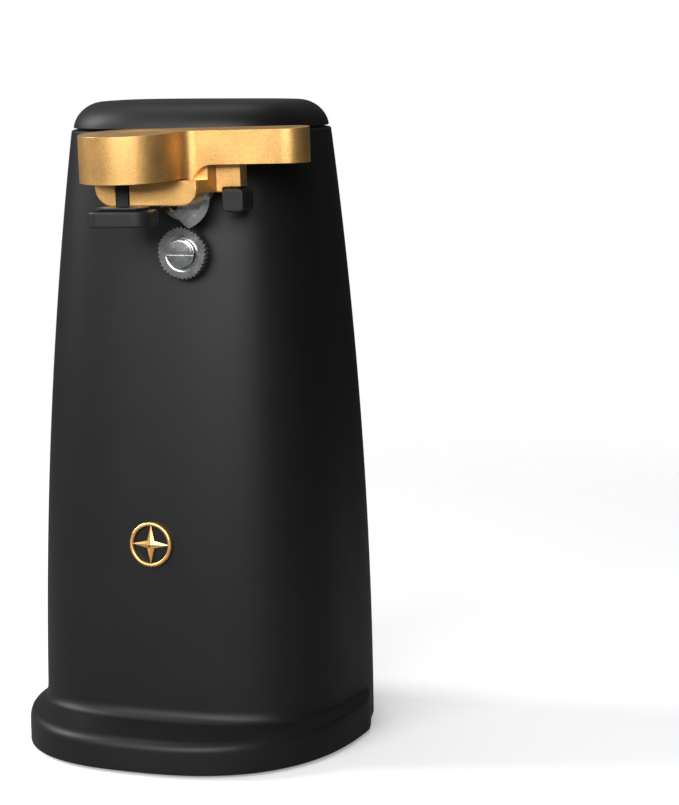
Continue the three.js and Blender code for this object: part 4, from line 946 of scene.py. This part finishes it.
# half width, half depth and corner radius
CUP, WELL = (MAGNET_HALF, MAGNET_DEEP, 5.5), (9.9, 6, 4)
BAR, KEEPER = (9.6, 5.7, 3.8), (9.0, 5.2, 3)


def pad(name, half, deep, radius, low, high):
    outline = rounded(MAGNET_X - half, MAGNET_X + half, MAGNET_Y - deep, MAGNET_Y + deep, (radius,) * 4, 14)
    return prism(name, outline, "Z", low, high, tilted)


def magnet_arm():
    """An open-bottomed cup under a flat post that hangs from the pin."""
    arm = pad("magnet_cup", *CUP, MAGNET_LOW, MAGNET_HIGH)
    bevel(arm, 0.9, 5)
    top = MAGNET_HIGH - 0.5
    side = [(-64.4, top), (-61.8, top), (-58.9, 209), *arc(PIN_Y, PIN_Z, 3, 0, 180, 20)]
    side[-1] = (-64.2, PIN_Z)
    side.append((-64.4, 209))
    post = prism("post", side, "X", POST_X - POST_HALF, POST_X + POST_HALF, tilted)
    bevel(post, 0.35, 3, 50)
    join(arm, post)
    cut(arm, pad("well", *WELL, MAGNET_LOW - 1, MAGNET_HIGH - 1.6))
    cut(arm, rod("pin_hole", PIN_RADIUS + GAP, "X", (POST_X, PIN_Y, PIN_Z), -5, 5, move=tilted))
    return place(arm, "magnet_arm", "magnet")


def lid_magnet():
    magnet = pad("magnet_bar", *BAR, MAGNET_LOW, MAGNET_HIGH - 1.9)
    bevel(magnet, 0.35, 3)
    return place(magnet, "lid_magnet", "magnet")


def magnet_plate():
    """A thin keeper plate on the cup, notched round the post."""
    plate = pad("keeper_plate", *KEEPER, MAGNET_HIGH + GAP, MAGNET_HIGH + 1.1)
    bevel(plate, 0.2, 2)
    reach = POST_HALF + 0.4
    notch = (POST_X - reach, POST_X + reach), (-64.8, -60), (MAGNET_HIGH, MAGNET_HIGH + 2)
    cut(plate, block("notch", *notch, tilted))
    return place(plate, "magnet_plate", "magnet")


# ---------------------------------------------------------------- drive wheel

DRIVE_X, DRIVE_Z = 13.0, 187.0
DRIVE_SHAFT = 3.5  # the shaft's radius
WHEEL_FRONT, WHEEL_BACK, WHEEL_RADIUS, WHEEL_ROOT, WHEEL_TEETH = -51.6, -48.4, 9.6, 8.9, 36


def drive_wheel():
    """The hardened wheel: sharp V teeth, relieved a little on both faces, and a hub behind."""
    shift = 0.35
    layers = [(WHEEL_FRONT, shift), (WHEEL_FRONT + 0.4, 0.0), (WHEEL_BACK - 0.4, 0.0), (WHEEL_BACK, shift)]
    points, faces = [], []
    count = WHEEL_TEETH * 2
    for y, less in layers:
        for i in range(count):
            radius = (WHEEL_RADIUS if i % 2 == 0 else WHEEL_ROOT) - less
            turn = math.pi * i / WHEEL_TEETH
            points.append((DRIVE_X + radius * math.cos(turn), y, DRIVE_Z + radius * math.sin(turn)))
    for row in range(3):
        a, b = row * count, (row + 1) * count
        faces += [(a + i, a + (i + 1) % count, b + (i + 1) % count, b + i) for i in range(count)]
    faces += [tuple(reversed(range(count))), tuple(range(3 * count, 4 * count))]
    wheel = mesh_object("toothed_wheel", points, faces)
    middle = (DRIVE_X, 0, DRIVE_Z)
    dished = [(0, -54), (6.6, -54), (6.6, WHEEL_FRONT + 0.35)]
    dished += [(6.2, WHEEL_FRONT + 0.5), (0, WHEEL_FRONT + 0.5)]
    cut(wheel, turned("dish", dished, middle, "Y", 64))
    join(wheel, rod("hub", 5.4, "Y", middle, WHEEL_BACK - 0.5, WHEEL_BACK + 1.2, 64))
    cut(wheel, rod("bore", DRIVE_SHAFT + GAP, "Y", middle, -60, -40, 64))
    return place(wheel, "drive_wheel", "drive", angle=20)


def drive_shaft():
    """The shaft and its slotted round head, which holds the wheel on."""
    head = [(0, -53.6), (4.4, -53.6), (4.95, -53.45), (5.2, -53.1), (5.2, -52.1), (5.0, -51.9)]
    rest = [(DRIVE_SHAFT, -51.9), (DRIVE_SHAFT, -11), (DRIVE_SHAFT - 0.3, -9.5), (0, -9.5)]
    shaft = turned("drive_shaft_turned", head + rest, (DRIVE_X, 0, DRIVE_Z), "Y", 64)
    slot = block("slot", (DRIVE_X - 6, DRIVE_X + 6), (-55, -52.9), (DRIVE_Z - 0.6, DRIVE_Z + 0.6))
    cut(shaft, slot)
    return place(shaft, "drive_shaft", "drive")


def bushing(node, centre, bore, front, back):
    """A sleeve with broken edges and a flange against the gear plate."""
    outer, flange, seat, edge = 5.5, 7.0, -35.8, 0.25
    profile = [(bore + edge, front), (outer - edge, front), (outer, front + edge), (outer, seat - 1.2)]
    profile += [(flange - edge, seat - 1.2), (flange, seat - 1.2 + edge), (flange, seat), (outer, seat)]
    profile += [(outer, back - edge), (outer - edge, back), (bore + edge, back), (bore, back - edge)]
    profile += [(bore, front + edge)]
    sleeve = turned(f"{node}_sleeve", profile, centre, "Y", 64)
    return place(sleeve, node, "housing")


MOTOR_HEAD = 1.8  # how far the gearbox and motor screws' heads stand proud


def gearbox_screws():
    """Plate screws sit on the rear gear plate and motor screws on the rear bracket, heads to the back."""
    for i, (x, z) in enumerate(SPACER_PLACES, 1):
        _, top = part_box(f"plate_screw_{i}")
        centre = (x, top.y / MM - AXIS_Y - MOTOR_HEAD, z)
        shape = (3.2, MOTOR_HEAD, 1.6, 27, "Y")
        pan_screw(f"gear_pan_screw_{i}", f"plate_screw_{i}", "housing", centre, *shape, flip=True)
    for i in (1, 2):
        low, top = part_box(f"motor_screw_{i}")
        x, z = (low.x + top.x) / 2 / MM, (low.z + top.z) / 2 / MM
        centre = (x, top.y / MM - AXIS_Y - MOTOR_HEAD, z)
        shape = (3.0, MOTOR_HEAD, 1.6, 37, "Y")
        pan_screw(f"motor_pan_screw_{i}", f"motor_screw_{i}", "housing", centre, *shape, flip=True)


def finish_cad_nodes():
    """The works inside keep their CAD shapes and take the same finishes as the rest."""
    for node, obj in frame["nodes"].items():
        if obj.hide_render:
            continue
        if not obj.material_slots:
            obj.data.materials.append(None)
        for holder in obj.material_slots:
            holder.link = "OBJECT"
            holder.material = FINISHES[SLOT_OF[node]]


# ---------------------------------------------------------------- stage, lights and camera


FLOOR_GREY, FLOOR_GLOW = 0.74, 0.3
FLOOR_FADE = (0.3, 0.8)  # metres from the middle between which the floor fades out
FLOOR_DIMMED = 0.8  # the dark share of the floor in glossy reflections
LOOK_AT = (0, -0.01, 0.14)
SOFTBOXES = [
    ("key", (0.12, -1.7, 0.9), 2.1, 0.8, 54),
    ("side", (-1.4, -0.3, 1.0), 0.5, 0.9, 24),
    ("top", (-0.3, 0.3, 1.7), 1.2, 1.0, 7),
]
CAMERA_AT = (368.94, -852.89, 262.52)
CAMERA_TURN, CAMERA_PITCH, CAMERA_ROLL = math.radians(20.3015), math.radians(8.4448), math.radians(-0.6571)
SENSOR, LENS = 36, 109.88


def stage():
    """A broad pale floor that fades into the white surroundings and is dim in glossy reflections."""
    half = 2500
    floor = block("floor", (-half, half), (-half, half), (-8, -0.02))
    material = bpy.data.materials.new("pale_floor")
    material.use_nodes = True
    nodes, links = material.node_tree.nodes, material.node_tree.links
    shader = nodes["Principled BSDF"]
    shader.inputs["Base Color"].default_value = (FLOOR_GREY, FLOOR_GREY, FLOOR_GREY, 1)
    shader.inputs["Roughness"].default_value = 0.8
    shader.inputs["Specular IOR Level"].default_value = 0.1
    shader.inputs["Emission Color"].default_value = (1, 1, 1, 1)
    shader.inputs["Emission Strength"].default_value = FLOOR_GLOW
    coords = nodes.new("ShaderNodeTexCoord").outputs["Object"]
    reach = nodes.new("ShaderNodeVectorMath")
    reach.operation = "LENGTH"
    links.new(coords, reach.inputs[0])
    fade = nodes.new("ShaderNodeMapRange")
    fade.interpolation_type = "SMOOTHSTEP"
    fade.inputs["From Min"].default_value = FLOOR_FADE[0]
    fade.inputs["From Max"].default_value = FLOOR_FADE[1]
    links.new(reach.outputs["Value"], fade.inputs["Value"])
    clear = nodes.new("ShaderNodeBsdfTransparent")
    mixer = nodes.new("ShaderNodeMixShader")
    links.new(fade.outputs["Result"], mixer.inputs["Fac"])
    rays = nodes.new("ShaderNodeLightPath")
    shade_share = nodes.new("ShaderNodeMath")
    shade_share.operation = "MULTIPLY"
    shade_share.inputs[1].default_value = FLOOR_DIMMED
    links.new(rays.outputs["Is Glossy Ray"], shade_share.inputs[0])
    dark = nodes.new("ShaderNodeBsdfDiffuse")
    dark.inputs["Color"].default_value = (0.02, 0.02, 0.02, 1)
    seen = nodes.new("ShaderNodeMixShader")
    links.new(shade_share.outputs["Value"], seen.inputs["Fac"])
    links.new(shader.outputs["BSDF"], seen.inputs[1])
    links.new(dark.outputs["BSDF"], seen.inputs[2])
    links.new(seen.outputs["Shader"], mixer.inputs[1])
    links.new(clear.outputs["BSDF"], mixer.inputs[2])
    links.new(mixer.outputs["Shader"], nodes["Material Output"].inputs["Surface"])
    floor.data.materials.append(material)


def softbox(name, position, width, height, power):
    data = bpy.data.lights.new(name, "AREA")
    data.shape = "RECTANGLE"
    data.size, data.size_y = width, height
    data.energy = power
    lamp = bpy.data.objects.new(name, data)
    lamp.location = position
    lamp.rotation_euler = (Vector(LOOK_AT) - Vector(position)).to_track_quat("-Z", "Y").to_euler()
    bpy.context.collection.objects.link(lamp)


def studio():
    """White surroundings, a soft key before the lever, and dimmer light from the left and from above."""
    scene = bpy.context.scene
    scene.view_settings.view_transform = "Standard"
    world = bpy.data.worlds.new("studio")
    scene.world = world
    world.use_nodes = True
    nodes, links = world.node_tree.nodes, world.node_tree.links
    glow = nodes["Background"]
    glow.inputs["Strength"].default_value = 1.0
    coords = nodes.new("ShaderNodeTexCoord").outputs["Generated"]
    split = nodes.new("ShaderNodeSeparateXYZ")
    links.new(coords, split.inputs["Vector"])
    height = nodes.new("ShaderNodeMapRange")
    height.inputs["From Min"].default_value = -0.2
    height.inputs["From Max"].default_value = 0.9
    height.inputs["To Min"].default_value = 0.06
    height.inputs["To Max"].default_value = 0.3
    links.new(split.outputs["Z"], height.inputs["Value"])
    across = nodes.new("ShaderNodeMapRange")
    across.inputs["From Min"].default_value = -0.7
    across.inputs["From Max"].default_value = 0.8
    across.inputs["To Min"].default_value = 1.2
    across.inputs["To Max"].default_value = 0.1
    links.new(split.outputs["X"], across.inputs["Value"])
    product = nodes.new("ShaderNodeMath")
    product.operation = "MULTIPLY"
    links.new(height.outputs["Result"], product.inputs[0])
    links.new(across.outputs["Result"], product.inputs[1])
    links.new(product.outputs["Value"], glow.inputs["Color"])
    paper = nodes.new("ShaderNodeBackground")
    paper.inputs["Color"].default_value = (1, 1, 1, 1)
    paper.inputs["Strength"].default_value = 1.0
    rays = nodes.new("ShaderNodeLightPath")
    mixer = nodes.new("ShaderNodeMixShader")
    links.new(rays.outputs["Is Camera Ray"], mixer.inputs["Fac"])
    links.new(glow.outputs["Background"], mixer.inputs[1])
    links.new(paper.outputs["Background"], mixer.inputs[2])
    links.new(mixer.outputs["Shader"], nodes["World Output"].inputs["Surface"])
    for box in SOFTBOXES:
        softbox(*box)


def camera():
    """The camera stands to the right of the front, a little above the top, with a long lens."""
    turn, pitch, roll = CAMERA_TURN, CAMERA_PITCH, CAMERA_ROLL
    level = Vector((-math.sin(turn), math.cos(turn), 0))
    right = Vector((math.cos(turn), math.sin(turn), 0))
    forward = level * math.cos(pitch) - Vector((0, 0, math.sin(pitch)))
    up = right.cross(forward)
    right, up = right * math.cos(roll) + up * math.sin(roll), up * math.cos(roll) - right * math.sin(roll)
    data = bpy.data.cameras.new("camera")
    data.sensor_width = SENSOR
    data.lens = LENS
    data.clip_end = 50
    view = bpy.data.objects.new("camera", data)
    turned_to = Matrix((right, up, -forward)).transposed().to_4x4()
    view.matrix_world = Matrix.Translation(to_row(*CAMERA_AT)) @ turned_to
    bpy.context.collection.objects.link(view)
    bpy.context.scene.camera = view


camera()
studio()
stage()

main_housing()
rear_cover()
top_cap()
base_plate()
rubber_feet()
screws()
gearbox_screws()
cord_gland()
emblem_badge()
can_guide()

lever_shell()
lever_carrier()
cutter_blade()
blade_rivets()
magnet_pin()
magnet_arm()
lid_magnet()
magnet_plate()

drive_wheel()
drive_shaft()
bushing("lever_bushing", (PIVOT_X, 0, PIVOT_Z), 4.3, -43.2, -33)
bushing("drive_bushing", (DRIVE_X, 0, DRIVE_Z), 3.8, -46.4, -33.5)

finish_cad_nodes()
